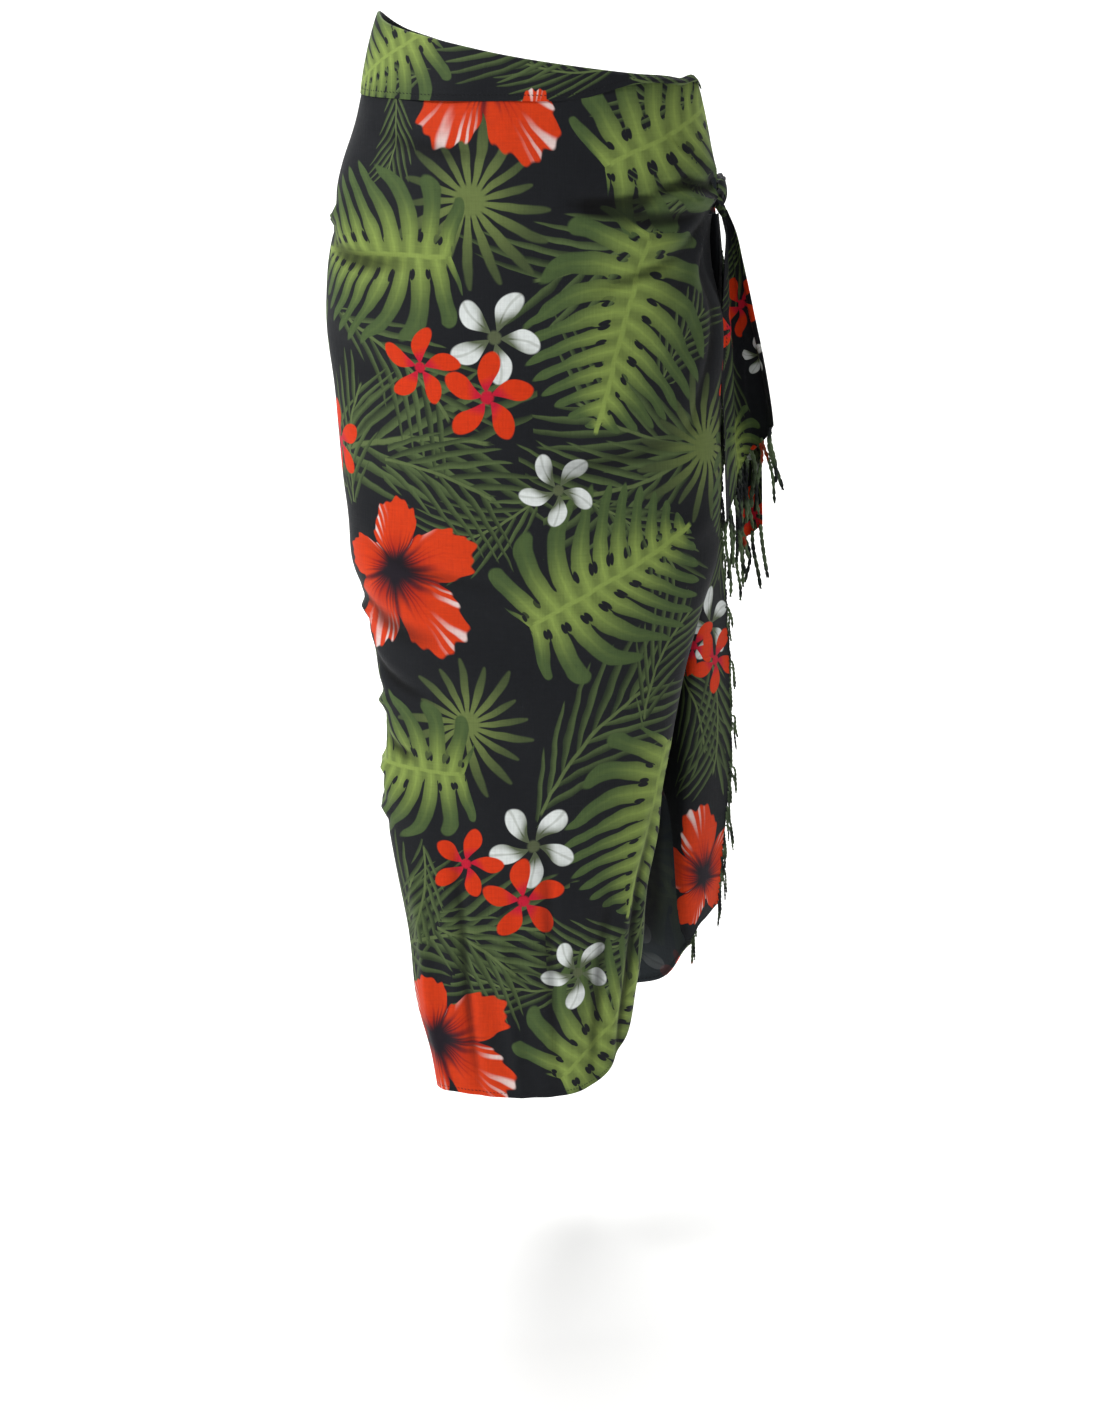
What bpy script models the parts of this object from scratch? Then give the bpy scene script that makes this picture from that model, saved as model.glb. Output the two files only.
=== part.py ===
"""A fringed sarong, wound once round the hips and tied at the left hip.

Metres, +Z up, the front of the garment towards -Y and the wearer's left hip towards +X.
The origin is the middle of the waist, where the wearer holds the garment up.
"""

import math
import random

import bmesh
import bpy
import numpy as np

# Cloth and seams
WALL = 0.0013  # rayon doubled by its hem, as a solid wall
SEAM_GAP = 0.0003  # between neighbouring pieces
LAP_GAP = 0.0006  # under the band that is folded over

# How finely the wall is divided
FRONT_COLUMNS = 30
BACK_COLUMNS = 32
FALL_COLUMNS = 16
TAIL_COLUMNS = 8
UPPER_ROWS = 11  # down to YOKE_Z, where the creases from the knot lie
LOWER_ROWS = 17
TAIL_ROWS = 9
BAND_ROWS = 3
YOKE_Z = -0.235
ARC_SAMPLES = 40
NORMAL_STEP = 0.004  # along the wound cloth, to find which way it faces

# Half the length of the wound cloth, to turn lengths into fractions along it
HIP_HALF_GIRTH = 0.45
WAIST_HALF_GIRTH = 0.36

# Squareness of the wound tube's plan: 2 is an ellipse
FRONT_SQUARENESS = 2.25
BACK_SQUARENESS = 2.15

# Plan of the wound tube, a row for each height: the right hip's side, the foremost and rearmost
# points, the fold under the knot, and the free end of the back half
TUBE_COLUMNS = (
    "z", "side_x", "side_y", "front_x", "front_y", "fold_x", "fold_y",
    "back_x", "back_y", "end_x", "end_y",
)
TUBE_ROWS = (
    (0.040, -0.129, -0.004, 0.000, -0.088, 0.124, -0.020, 0.000, 0.088, 0.124, 0.022),
    (0.000, -0.138, -0.003, 0.000, -0.093, 0.130, -0.020, 0.000, 0.098, 0.131, 0.022),
    (-0.040, -0.149, -0.002, 0.000, -0.098, 0.136, -0.019, 0.000, 0.110, 0.137, 0.023),
    (-0.080, -0.161, -0.001, 0.000, -0.103, 0.143, -0.018, 0.000, 0.121, 0.144, 0.025),
    (-0.112, -0.170, -0.001, 0.000, -0.105, 0.148, -0.018, 0.000, 0.128, 0.149, 0.028),
    (-0.140, -0.175, 0.000, 0.000, -0.106, 0.139, -0.020, 0.000, 0.132, 0.150, 0.031),
    (-0.170, -0.178, 0.000, 0.000, -0.107, 0.137, -0.020, 0.000, 0.135, 0.150, 0.034),
    (-0.205, -0.179, -0.001, 0.000, -0.108, 0.151, -0.020, 0.000, 0.136, 0.150, 0.037),
    (-0.285, -0.174, -0.006, 0.000, -0.109, 0.153, -0.024, 0.002, 0.134, 0.150, 0.045),
    (-0.370, -0.167, -0.014, 0.000, -0.109, 0.155, -0.030, 0.006, 0.134, 0.150, 0.053),
    (-0.420, -0.163, -0.020, 0.000, -0.108, 0.153, -0.040, 0.009, 0.137, 0.150, 0.059),
    (-0.462, -0.151, -0.025, 0.000, -0.106, 0.138, -0.050, 0.012, 0.141, 0.150, 0.064),
    (-0.545, -0.136, -0.036, 0.000, -0.103, 0.120, -0.050, 0.018, 0.151, 0.150, 0.075),
    (-0.630, -0.137, -0.046, 0.000, -0.101, 0.107, -0.050, 0.023, 0.163, 0.149, 0.086),
    (-0.725, -0.122, -0.057, -0.001, -0.100, 0.095, -0.050, 0.028, 0.178, 0.148, 0.098),
    (-0.825, -0.108, -0.067, -0.002, -0.100, 0.086, -0.050, 0.032, 0.193, 0.148, 0.109),
    (-0.930, -0.086, -0.076, -0.003, -0.100, 0.074, -0.048, 0.036, 0.206, 0.146, 0.118),
)

# Heights along the wound cloth, from its free end at the back (-1) past the right hip (0)
# to the fold under the knot (1): the top edge, the lower edge of the folded band, and the hem
EDGE_COLUMNS = ("along", "top_z", "band_z", "hem_z")
EDGE_ROWS = (
    (-1.00, -0.104, -0.108, -0.834),
    (-0.94, -0.052, -0.058, -0.853),
    (-0.88, -0.038, -0.045, -0.892),
    (-0.80, -0.031, -0.041, -0.911),
    (-0.62, -0.020, -0.046, -0.918),
    (-0.40, -0.002, -0.048, -0.914),
    (-0.20, 0.016, -0.044, -0.905),
    (0.00, 0.031, -0.033, -0.897),
    (0.14, 0.020, -0.035, -0.896),
    (0.30, 0.0075, -0.0375, -0.897),
    (0.46, -0.004, -0.0375, -0.897),
    (0.62, -0.0125, -0.036, -0.896),
    (0.74, -0.0175, -0.025, -0.888),
    (0.85, -0.021, -0.026, -0.868),
    (0.94, -0.031, -0.036, -0.842),
    (1.00, -0.100, -0.105, -0.812),
)
BAND_FRONT_END = 0.72  # where the folded band runs out, along the wound cloth
BAND_BACK_END = -0.82

# Largest folds of the wound cloth: from one place to another (along, height), depth and half width
# in metres, a valley where the depth is negative
FOLD_START_FADE = 0.12  # how far along its own fading a fold begins and ends
FOLD_COLUMNS = ("along_a", "z_a", "along_b", "z_b", "depth", "width")
FOLD_ROWS = (
    (0.99, -0.114, 0.66, -0.088, -0.0034, 0.0075),
    (0.99, -0.122, 0.70, -0.118, -0.0040, 0.0080),
    (0.97, -0.118, 0.62, -0.150, 0.0026, 0.0110),
    (0.03, -0.149, 0.30, -0.165, -0.0040, 0.0100),
    (0.00, -0.440, 0.28, -0.480, -0.0036, 0.0140),
    (0.92, -0.640, 0.86, -0.880, -0.0050, 0.0120),
    (0.78, -0.700, 0.72, -0.890, -0.0034, 0.0150),
    (0.02, -0.600, 0.22, -0.640, 0.0030, 0.0160),
    (-0.99, -0.116, -0.62, -0.085, -0.0038, 0.0080),
    (-0.98, -0.124, -0.60, -0.170, -0.0036, 0.0100),
    (-0.96, -0.140, -0.72, -0.300, -0.0030, 0.0120),
    (-0.25, -0.330, -0.62, -0.345, -0.0050, 0.0160),
    (-0.35, -0.480, -0.32, -0.880, -0.0090, 0.0200),
    (-0.58, -0.420, -0.60, -0.900, -0.0080, 0.0220),
    (-0.46, -0.560, -0.46, -0.900, 0.0060, 0.0180),
    (-0.80, -0.520, -0.84, -0.850, -0.0070, 0.0180),
)

# Plan of the front half beyond its fold: how far its start stands off the fold, then its valley,
# its ridge and its free end
FALL_PLAN_COLUMNS = (
    "z", "off_x", "off_y", "valley_x", "valley_y", "ridge_x", "ridge_y", "edge_x", "edge_y",
)
FALL_PLAN_ROWS = (
    (-0.127, 0.0040, 0.0140, 0.1430, 0.0030, 0.1485, -0.0020, 0.1510, 0.0060),
    (-0.170, 0.0080, 0.0120, 0.1400, 0.0100, 0.1510, -0.0010, 0.1560, 0.0120),
    (-0.210, 0.0000, 0.0000, 0.1370, 0.0160, 0.1500, 0.0000, 0.1575, 0.0180),
    (-0.285, 0.0000, 0.0000, 0.1310, 0.0260, 0.1490, 0.0000, 0.1590, 0.0260),
    (-0.370, 0.0000, 0.0000, 0.1240, 0.0360, 0.1480, -0.0020, 0.1600, 0.0290),
    (-0.420, 0.0000, 0.0000, 0.1190, 0.0420, 0.1440, -0.0060, 0.1620, 0.0300),
    (-0.462, 0.0000, 0.0000, 0.1150, 0.0470, 0.1400, -0.0100, 0.1660, 0.0300),
    (-0.545, 0.0000, 0.0000, 0.1080, 0.0540, 0.1350, -0.0090, 0.1720, 0.0300),
    (-0.630, 0.0000, 0.0000, 0.1030, 0.0580, 0.1325, -0.0060, 0.1740, 0.0310),
    (-0.725, 0.0000, 0.0000, 0.1010, 0.0600, 0.1330, -0.0050, 0.1680, 0.0320),
    (-0.850, 0.0000, 0.0000, 0.1000, 0.0600, 0.1340, -0.0050, 0.1620, 0.0320),
)
# Hem of the front half beyond its fold, by the fraction of the way to its free end
FALL_HEM_COLUMNS = ("along", "hem_z")
FALL_HEM_ROWS = (
    (0.00, -0.812),
    (0.12, -0.770),
    (0.28, -0.690),
    (0.42, -0.646),
    (0.58, -0.648),
    (0.70, -0.690),
    (0.77, -0.774),
    (0.88, -0.772),
    (1.00, -0.762),
)

# The knot: a wound lump with a flat underside, where the tails leave it
KNOT_CENTRE = (0.1490, 0.0050, -0.1130)
KNOT_RADII = (0.0120, 0.0225, 0.0155)
KNOT_FULLNESS = 0.45  # 1 is an egg, less is squarer
KNOT_RINGS = 9
KNOT_SIDES = 18
KNOT_GROOVE = 0.0022
KNOT_TURNS = 2
KNOT_SLANT = 3.2  # how far the grooves turn on their way down, in radians
KNOT_UNDERSIDE = KNOT_CENTRE[2] - KNOT_RADII[2] * math.cos(math.pi / KNOT_RINGS)
HANG_Z = KNOT_UNDERSIDE - SEAM_GAP  # where all that hangs from the knot begins
FIRST_ROW = 0.004  # least height of the first row under the knot

# The tails: rows of inner, middle and outer points down each
TAIL_PLAN_COLUMNS = (
    "z", "inner_x", "inner_y", "middle_x", "middle_y", "outer_x", "outer_y",
)
FRONT_TAIL_ROWS = (
    (-0.1270, 0.1530, -0.0055, 0.1555, -0.0025, 0.1568, -0.0060),
    (-0.1450, 0.1570, -0.0060, 0.1605, 0.0040, 0.1650, -0.0030),
    (-0.1700, 0.1565, -0.0130, 0.1650, 0.0090, 0.1715, -0.0050),
    (-0.2100, 0.1560, -0.0240, 0.1710, 0.0130, 0.1820, -0.0080),
    (-0.2450, 0.1565, -0.0310, 0.1765, 0.0140, 0.1915, -0.0100),
    (-0.2900, 0.1575, -0.0360, 0.1815, 0.0140, 0.2000, -0.0110),
    (-0.3400, 0.1585, -0.0390, 0.1850, 0.0130, 0.2040, -0.0110),
    (-0.4000, 0.1610, -0.0400, 0.1870, 0.0120, 0.2060, -0.0110),
)
FRONT_TAIL_BOTTOM = (-0.388, -0.308)  # at its inner and its outer edge
BACK_TAIL_ROWS = (
    (-0.1270, 0.1530, 0.0110, 0.1550, 0.0150, 0.1572, 0.0115),
    (-0.1500, 0.1585, 0.0120, 0.1620, 0.0200, 0.1665, 0.0140),
    (-0.1900, 0.1620, 0.0170, 0.1690, 0.0300, 0.1745, 0.0190),
    (-0.2500, 0.1660, 0.0210, 0.1760, 0.0370, 0.1840, 0.0220),
    (-0.3300, 0.1710, 0.0230, 0.1820, 0.0390, 0.1930, 0.0230),
    (-0.4000, 0.1740, 0.0240, 0.1850, 0.0370, 0.1960, 0.0240),
    (-0.4500, 0.1760, 0.0240, 0.1860, 0.0360, 0.1970, 0.0240),
)
BACK_TAIL_BOTTOM = (-0.428, -0.402)

# Fringe: strands of twisted threads
FRINGE_SEED = 7
STRIP_WIDTH = 0.0024
STRAND_WIDTH = 0.0022
EDGE_STRAND_LENGTH = 0.034
TAIL_STRAND_LENGTHS = (0.062, 0.040)
EDGE_STRAND_PITCH = 0.017
TAIL_STRAND_PITCH = 0.0062
EDGE_SWING = 0.22  # how far strands on an upright edge hang outwards for each metre down
TAIL_SWINGS = (0.16, 0.06)
STRAND_JITTER = 0.012
STRAND_BEND = 0.0045  # how far out of the cloth a strand turns down
STRAND_LENGTH_RANGE = (0.82, 1.12)
TAPER_AT = 0.55  # down a strand, where it has narrowed to TIP_TAPER
TIP_TAPER = 0.75

COLOURS = {
    "front_stretch": (0.055, 0.075, 0.030),
    "back_stretch": (0.050, 0.070, 0.030),
    "front_fall": (0.070, 0.045, 0.022),
    "waist_fold_front": (0.045, 0.065, 0.026),
    "waist_fold_back": (0.045, 0.065, 0.026),
    "hip_knot": (0.014, 0.016, 0.020),
    "front_tail": (0.110, 0.035, 0.020),
    "back_tail": (0.080, 0.040, 0.022),
    "fringe": (0.040, 0.048, 0.022),
}
CLOTH_ROUGHNESS = 0.82


def clear_scene():
    for item in list(bpy.data.objects):
        bpy.data.objects.remove(item, do_unlink=True)


def cloth_material(name):
    material = bpy.data.materials.new(name + "_cloth")
    material.use_nodes = True
    shader = material.node_tree.nodes["Principled BSDF"]
    colour = COLOURS.get(name, COLOURS["fringe"])
    shader.inputs["Base Color"].default_value = (*colour, 1.0)
    shader.inputs["Roughness"].default_value = CLOTH_ROUGHNESS
    shader.inputs["Metallic"].default_value = 0.0
    return material


def table(columns, rows):
    values = np.array(rows, float)
    order = np.argsort(values[:, 0])
    return {name: values[order, i] for i, name in enumerate(columns)}


def read(rows, key, name, at):
    """A smooth curve through one column of a table, read at the given places."""
    x, y = rows[key], rows[name]
    at = np.clip(np.asarray(at, float), x[0], x[-1])
    slope = np.gradient(y, x)
    i = np.clip(np.searchsorted(x, at, side="right") - 1, 0, len(x) - 2)
    step = x[i + 1] - x[i]
    t = (at - x[i]) / step
    rise = t * t * (3 - 2 * t)
    return (
        y[i] * (1 - rise) + y[i + 1] * rise
        + step * (slope[i] * t * (1 - t) ** 2 - slope[i + 1] * t * t * (1 - t))
    )


TUBE = table(TUBE_COLUMNS, TUBE_ROWS)
EDGES = table(EDGE_COLUMNS, EDGE_ROWS)
FALL_PLAN = table(FALL_PLAN_COLUMNS, FALL_PLAN_ROWS)
FALL_HEM = table(FALL_HEM_COLUMNS, FALL_HEM_ROWS)


def quarter(start, end, squareness, reach_first):
    """Points of a quarter of a squarish ellipse from start to end.

    reach_first is "y" where the curve leaves its start along Y, and "x" where it leaves along X.
    """
    turn = np.linspace(0, math.pi / 2, ARC_SAMPLES)
    wide = np.sin(turn) ** (2 / squareness)
    deep = np.cos(turn) ** (2 / squareness)
    if reach_first == "y":
        x = start[0] + (end[0] - start[0]) * (1 - deep)
        y = start[1] + (end[1] - start[1]) * wide
    else:
        x = start[0] + (end[0] - start[0]) * wide
        y = start[1] + (end[1] - start[1]) * (1 - deep)
    return np.stack([x, y], 1)


def along_path(points, fraction):
    """The point at a fraction of a plan path's length."""
    steps = np.linalg.norm(np.diff(points, axis=0), axis=1)
    distance = np.concatenate([[0], np.cumsum(steps)])
    at = fraction * distance[-1]
    return np.array([np.interp(at, distance, points[:, 0]), np.interp(at, distance, points[:, 1])])


def tube_plan(along, z):
    """Plan point of the wound tube: from the back's free end (-1) to the front's fold (1)."""
    row = {name: float(read(TUBE, "z", name, z)) for name in TUBE_COLUMNS[1:]}
    side = (row["side_x"], row["side_y"])
    if along >= 0:
        middle = (row["front_x"], row["front_y"])
        last = (row["fold_x"], row["fold_y"])
        squareness = FRONT_SQUARENESS
    else:
        middle = (row["back_x"], row["back_y"])
        last = (row["end_x"], row["end_y"])
        squareness = BACK_SQUARENESS
    path = np.concatenate([
        quarter(side, middle, squareness, "y"),
        quarter(middle, last, squareness, "x")[1:],
    ])
    return along_path(path, abs(along))


def fold_height(along, z):
    """How far the folds push the wound cloth out at a place."""
    push = 0.0
    for row in FOLD_ROWS:
        fold = dict(zip(FOLD_COLUMNS, row))
        start = np.array([fold["along_a"] * HIP_HALF_GIRTH, fold["z_a"]])
        run = np.array([fold["along_b"] * HIP_HALF_GIRTH, fold["z_b"]]) - start
        here = np.array([along * HIP_HALF_GIRTH, z]) - start
        reach = float(here @ run / (run @ run))
        near = min(max(reach, 0.0), 1.0)
        away = float(np.linalg.norm(here - near * run))
        through = FOLD_START_FADE + (1 - 2 * FOLD_START_FADE) * reach
        fade = math.sin(math.pi * min(max(through, 0.0), 1.0))
        push += fold["depth"] * fade * math.exp(-((away / fold["width"]) ** 2))
    return push


def tube_point(along, z, out=0.0):
    """A point of the wound cloth's outer face, moved outwards by its folds and by out."""
    run = tube_plan(min(along + NORMAL_STEP, 1.0), z) - tube_plan(max(along - NORMAL_STEP, -1.0), z)
    normal = np.array([run[1], -run[0]]) / np.linalg.norm(run)
    here = tube_plan(along, z) + normal * (out + fold_height(along, z))
    return np.array([here[0], here[1], z])


def grid_normals(points):
    """Unit normals of a grid of points, columns first, rows downwards."""
    across = np.gradient(points, axis=0)
    down = np.gradient(points, axis=1)
    normals = np.cross(down, across)
    return normals / np.linalg.norm(normals, axis=2, keepdims=True)


def sheet_solid(name, outer, inner):
    """A closed wall: its outer and inner grids of points, and the rims between them."""
    columns, rows = outer.shape[:2]
    points = np.concatenate([outer.reshape(-1, 3), inner.reshape(-1, 3)])
    count = columns * rows

    def index(i, j, layer):
        return layer * count + i * rows + j

    faces = []
    for i in range(columns - 1):
        for j in range(rows - 1):
            faces.append((index(i, j, 0), index(i, j + 1, 0), index(i + 1, j + 1, 0), index(i + 1, j, 0)))
            faces.append((index(i, j, 1), index(i + 1, j, 1), index(i + 1, j + 1, 1), index(i, j + 1, 1)))
    for i in range(columns - 1):
        faces.append((index(i, 0, 0), index(i + 1, 0, 0), index(i + 1, 0, 1), index(i, 0, 1)))
        faces.append((index(i, rows - 1, 0), index(i, rows - 1, 1), index(i + 1, rows - 1, 1),
                      index(i + 1, rows - 1, 0)))
    for j in range(rows - 1):
        faces.append((index(0, j, 0), index(0, j, 1), index(0, j + 1, 1), index(0, j + 1, 0)))
        faces.append((index(columns - 1, j, 0), index(columns - 1, j + 1, 0),
                      index(columns - 1, j + 1, 1), index(columns - 1, j, 1)))
    return add_solid(name, points, faces)


def add_solid(name, points, faces):
    """An object from points and faces, with its faces turned outwards."""
    mesh = bpy.data.meshes.new(name)
    mesh.from_pydata([tuple(p) for p in points], [], faces)
    shape = bmesh.new()
    shape.from_mesh(mesh)
    bmesh.ops.triangulate(shape, faces=shape.faces[:])
    bmesh.ops.recalc_face_normals(shape, faces=shape.faces[:])
    if shape.calc_volume(signed=True) < 0:
        bmesh.ops.reverse_faces(shape, faces=shape.faces[:])
    shape.to_mesh(mesh)
    shape.free()
    mesh.shade_smooth()
    mesh.set_sharp_from_angle(angle=math.radians(50))
    item = bpy.data.objects.new(name, mesh)
    item.data.materials.append(cloth_material(name))
    bpy.context.scene.collection.objects.link(item)
    return item


def tube_heights(along):
    """Heights of the rows down one column: closer together above the hips."""
    top = float(read(EDGES, "along", "top_z", along))
    hem = float(read(EDGES, "along", "hem_z", along))
    upper = np.linspace(top, YOKE_Z, UPPER_ROWS + 1)
    lower = np.linspace(YOKE_Z, hem, LOWER_ROWS + 1)[1:]
    return np.concatenate([upper, lower])


def tube_grid(places, heights_at, out=0.0):
    return np.array([[tube_point(a, z, out) for z in heights_at(a)] for a in places])


def tube_solid(name, places, heights_at, out=0.0):
    outer = tube_grid(places, heights_at, out)
    return sheet_solid(name, outer, tube_grid(places, heights_at, out - WALL))


def hanging_solid(name, outer, normals):
    return sheet_solid(name, outer, outer - normals * WALL)


def make_front_stretch():
    places = np.linspace(0, 1, FRONT_COLUMNS + 1)
    places[0] = 0.5 * SEAM_GAP / HIP_HALF_GIRTH
    return tube_solid("front_stretch", places, tube_heights)


def make_back_stretch():
    places = np.linspace(-1, 0, BACK_COLUMNS + 1)
    places[-1] = -0.5 * SEAM_GAP / HIP_HALF_GIRTH
    return tube_solid("back_stretch", places, tube_heights)


def band_heights(along):
    top = float(read(EDGES, "along", "top_z", along))
    low = float(read(EDGES, "along", "band_z", along))
    return np.linspace(top, low, BAND_ROWS + 1)


def make_waist_fold(name, start, end, columns):
    places = np.linspace(start, end, columns + 1)
    return tube_solid(name, places, band_heights, LAP_GAP + WALL)


def make_waist_folds():
    seam = 0.5 * SEAM_GAP / WAIST_HALF_GIRTH
    make_waist_fold("waist_fold_front", seam, BAND_FRONT_END, round(FRONT_COLUMNS * BAND_FRONT_END))
    make_waist_fold("waist_fold_back", BAND_BACK_END, -seam, round(BACK_COLUMNS * -BAND_BACK_END))


def curve_through(points, fractions):
    """A smooth curve through a few plan points, read at fractions of its length."""
    points = np.array(points, float)
    knots = np.concatenate([[0], np.cumsum(np.linalg.norm(np.diff(points, axis=0), axis=1))])
    rows = {"at": knots, "x": points[:, 0], "y": points[:, 1]}
    fine = np.linspace(0, knots[-1], ARC_SAMPLES * 2)
    path = np.stack([read(rows, "at", "x", fine), read(rows, "at", "y", fine)], 1)
    return np.array([along_path(path, f) for f in fractions])


def fall_heights():
    """Heights down the fold's line, those of the front's last column from the knot down."""
    column = tube_heights(1.0)
    return np.concatenate([[HANG_Z], column[column < HANG_Z - FIRST_ROW]])


def fall_grid():
    """The front half beyond its fold, from the fold to its free end."""
    fractions = np.linspace(0, 1, FALL_COLUMNS + 1)
    line = fall_heights()
    share = (line - line[0]) / (line[-1] - line[0])
    grid = np.zeros((len(fractions), len(line), 3))
    for i, fraction in enumerate(fractions):
        hem = float(read(FALL_HEM, "along", "hem_z", fraction))
        for j, z in enumerate(line[0] + share * (hem - line[0])):
            row = {name: float(read(FALL_PLAN, "z", name, z)) for name in FALL_PLAN_COLUMNS[1:]}
            fold = tube_point(1.0, z)
            root = (fold[0] + max(row["off_x"], 0), fold[1] + SEAM_GAP + max(row["off_y"], 0))
            places = [root, (row["valley_x"], row["valley_y"]), (row["ridge_x"], row["ridge_y"]),
                      (row["edge_x"], row["edge_y"])]
            grid[i, j, :2] = curve_through(places, [fraction])[0]
            grid[i, j, 2] = z
    return grid


def tail_grid(rows, bottom):
    """A hanging corner, from its inner to its outer edge."""
    plan = table(TAIL_PLAN_COLUMNS, rows)
    fractions = np.linspace(0, 1, TAIL_COLUMNS + 1)
    grid = np.zeros((TAIL_COLUMNS + 1, TAIL_ROWS + 1, 3))
    for i, fraction in enumerate(fractions):
        low = bottom[0] + (bottom[1] - bottom[0]) * fraction
        for j, z in enumerate(np.linspace(HANG_Z, low, TAIL_ROWS + 1)):
            row = [float(read(plan, "z", name, z)) for name in TAIL_PLAN_COLUMNS[1:]]
            places = [row[0:2], row[2:4], row[4:6]]
            grid[i, j, :2] = curve_through(places, [fraction])[0]
            grid[i, j, 2] = z
    return grid


def make_knot():
    """A lump with two slanting grooves where the corners wind over each other."""
    centre = np.array(KNOT_CENTRE)
    radii = np.array(KNOT_RADII)
    points = []
    faces = []
    for i in range(1, KNOT_RINGS):
        lift = math.cos(math.pi * i / KNOT_RINGS)
        ring = math.sin(math.pi * i / KNOT_RINGS) ** KNOT_FULLNESS
        for k in range(KNOT_SIDES):
            turn = 2 * math.pi * k / KNOT_SIDES
            groove = 0.5 + 0.5 * math.cos(KNOT_TURNS * turn + KNOT_SLANT * lift)
            pinch = 1 - KNOT_GROOVE / radii[0] * groove * ring
            direction = np.array([ring * math.cos(turn) * pinch, ring * math.sin(turn) * pinch, lift])
            points.append(centre + radii * direction)
    rings = KNOT_RINGS - 1
    for i in range(rings - 1):
        for k in range(KNOT_SIDES):
            a = i * KNOT_SIDES + k
            b = i * KNOT_SIDES + (k + 1) % KNOT_SIDES
            faces.append((a, a + KNOT_SIDES, b + KNOT_SIDES, b))
    faces.append(tuple(range(KNOT_SIDES)))
    last = (rings - 1) * KNOT_SIDES
    faces.append(tuple(range(last + KNOT_SIDES - 1, last - 1, -1)))
    return add_solid("hip_knot", points, faces)


def unit(vector):
    return vector / np.linalg.norm(vector)


def edge_line(points, pitch):
    """Points along a cloth's edge, a strand's root between each odd pair of them."""
    steps = np.linalg.norm(np.diff(points, axis=0), axis=1)
    distance = np.concatenate([[0], np.cumsum(steps)])
    strands = max(2, int(distance[-1] / pitch))
    places = [0.0]
    for k in range(strands):
        middle = (k + 0.5) / strands * distance[-1]
        places += [middle - STRAND_WIDTH / 2, middle + STRAND_WIDTH / 2]
    places.append(distance[-1])
    return places, distance


def spread(values, distance, places):
    return np.stack([np.interp(places, distance, values[:, c]) for c in range(3)], 1)


def make_fringe(name, edge, beside, normals, pitch, length, swing, seed):
    """A narrow strip just off a cloth's edge, with a strand from every second stretch of it.

    edge holds the middle of the cloth's edge, beside the next line of points inside it.
    """
    places, distance = edge_line(edge, pitch)
    middle = spread(edge, distance, places)
    outward = np.array([unit(v) for v in spread(edge - beside, distance, places)])
    facing = np.array([unit(v) for v in spread(normals, distance, places)])
    facing = np.array([unit(n - o * (n @ o)) for n, o in zip(facing, outward)])
    half = WALL / 2
    near = middle + outward * SEAM_GAP
    far = near + outward * STRIP_WIDTH
    count = len(places)
    points = list(np.concatenate([near + facing * half, near - facing * half,
                                  far - facing * half, far + facing * half]))

    def corner(ring, k):
        return ring * count + k

    faces = [tuple(corner(r, 0) for r in (0, 1, 2, 3)), tuple(corner(r, count - 1) for r in (3, 2, 1, 0))]
    for k in range(count - 1):
        for ring in range(4):
            following = (ring + 1) % 4
            if ring == 2 and k % 2 == 1:
                continue
            faces.append((corner(ring, k), corner(ring, k + 1), corner(following, k + 1), corner(following, k)))
    chance = random.Random(seed)
    down = np.array([0.0, 0.0, -1.0])
    for k in range(1, count - 1, 2):
        root = [corner(2, k), corner(2, k + 1), corner(3, k + 1), corner(3, k)]
        out = unit(outward[k] + outward[k + 1])
        normal = unit(facing[k] + facing[k + 1])
        along = unit(far[k + 1] - far[k])
        start = (far[k] + far[k + 1]) / 2
        away = unit(out - down * (out @ down) + 1e-6 * normal)
        hang = unit(down + swing * away + STRAND_JITTER * normal * chance.uniform(-1, 1))
        whole = length * chance.uniform(*STRAND_LENGTH_RANGE)
        bend = unit(out + hang)
        sign = 1.0 if np.cross(out, normal) @ along > 0 else -1.0
        previous = root
        stations = ((start + bend * STRAND_BEND, unit(out * 0.35 + hang), 1.0),
                    (start + bend * STRAND_BEND + hang * whole * TAPER_AT, hang, TIP_TAPER))
        for centre, direction, size in stations:
            side = sign * unit(np.cross(direction, normal)) * STRAND_WIDTH / 2 * size
            thick = normal * half * size
            base = len(points)
            points += [centre - side - thick, centre + side - thick, centre + side + thick, centre - side + thick]
            ring = [base, base + 1, base + 2, base + 3]
            for c in range(4):
                d = (c + 1) % 4
                faces.append((previous[c], previous[d], ring[d], ring[c]))
            previous = ring
        points.append(start + bend * STRAND_BEND + hang * whole)
        tip = len(points) - 1
        for c in range(4):
            faces.append((previous[c], previous[(c + 1) % 4], tip))
    return add_solid(name, points, faces)


def fall_normals(grid):
    """Normals of the front half beyond its fold, squared up where it meets the front."""
    normals = grid_normals(grid)
    normals[0] = (1.0, 0.0, 0.0)
    return normals


def trimmed(line, first, last):
    return line[first:len(line) - last]


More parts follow.
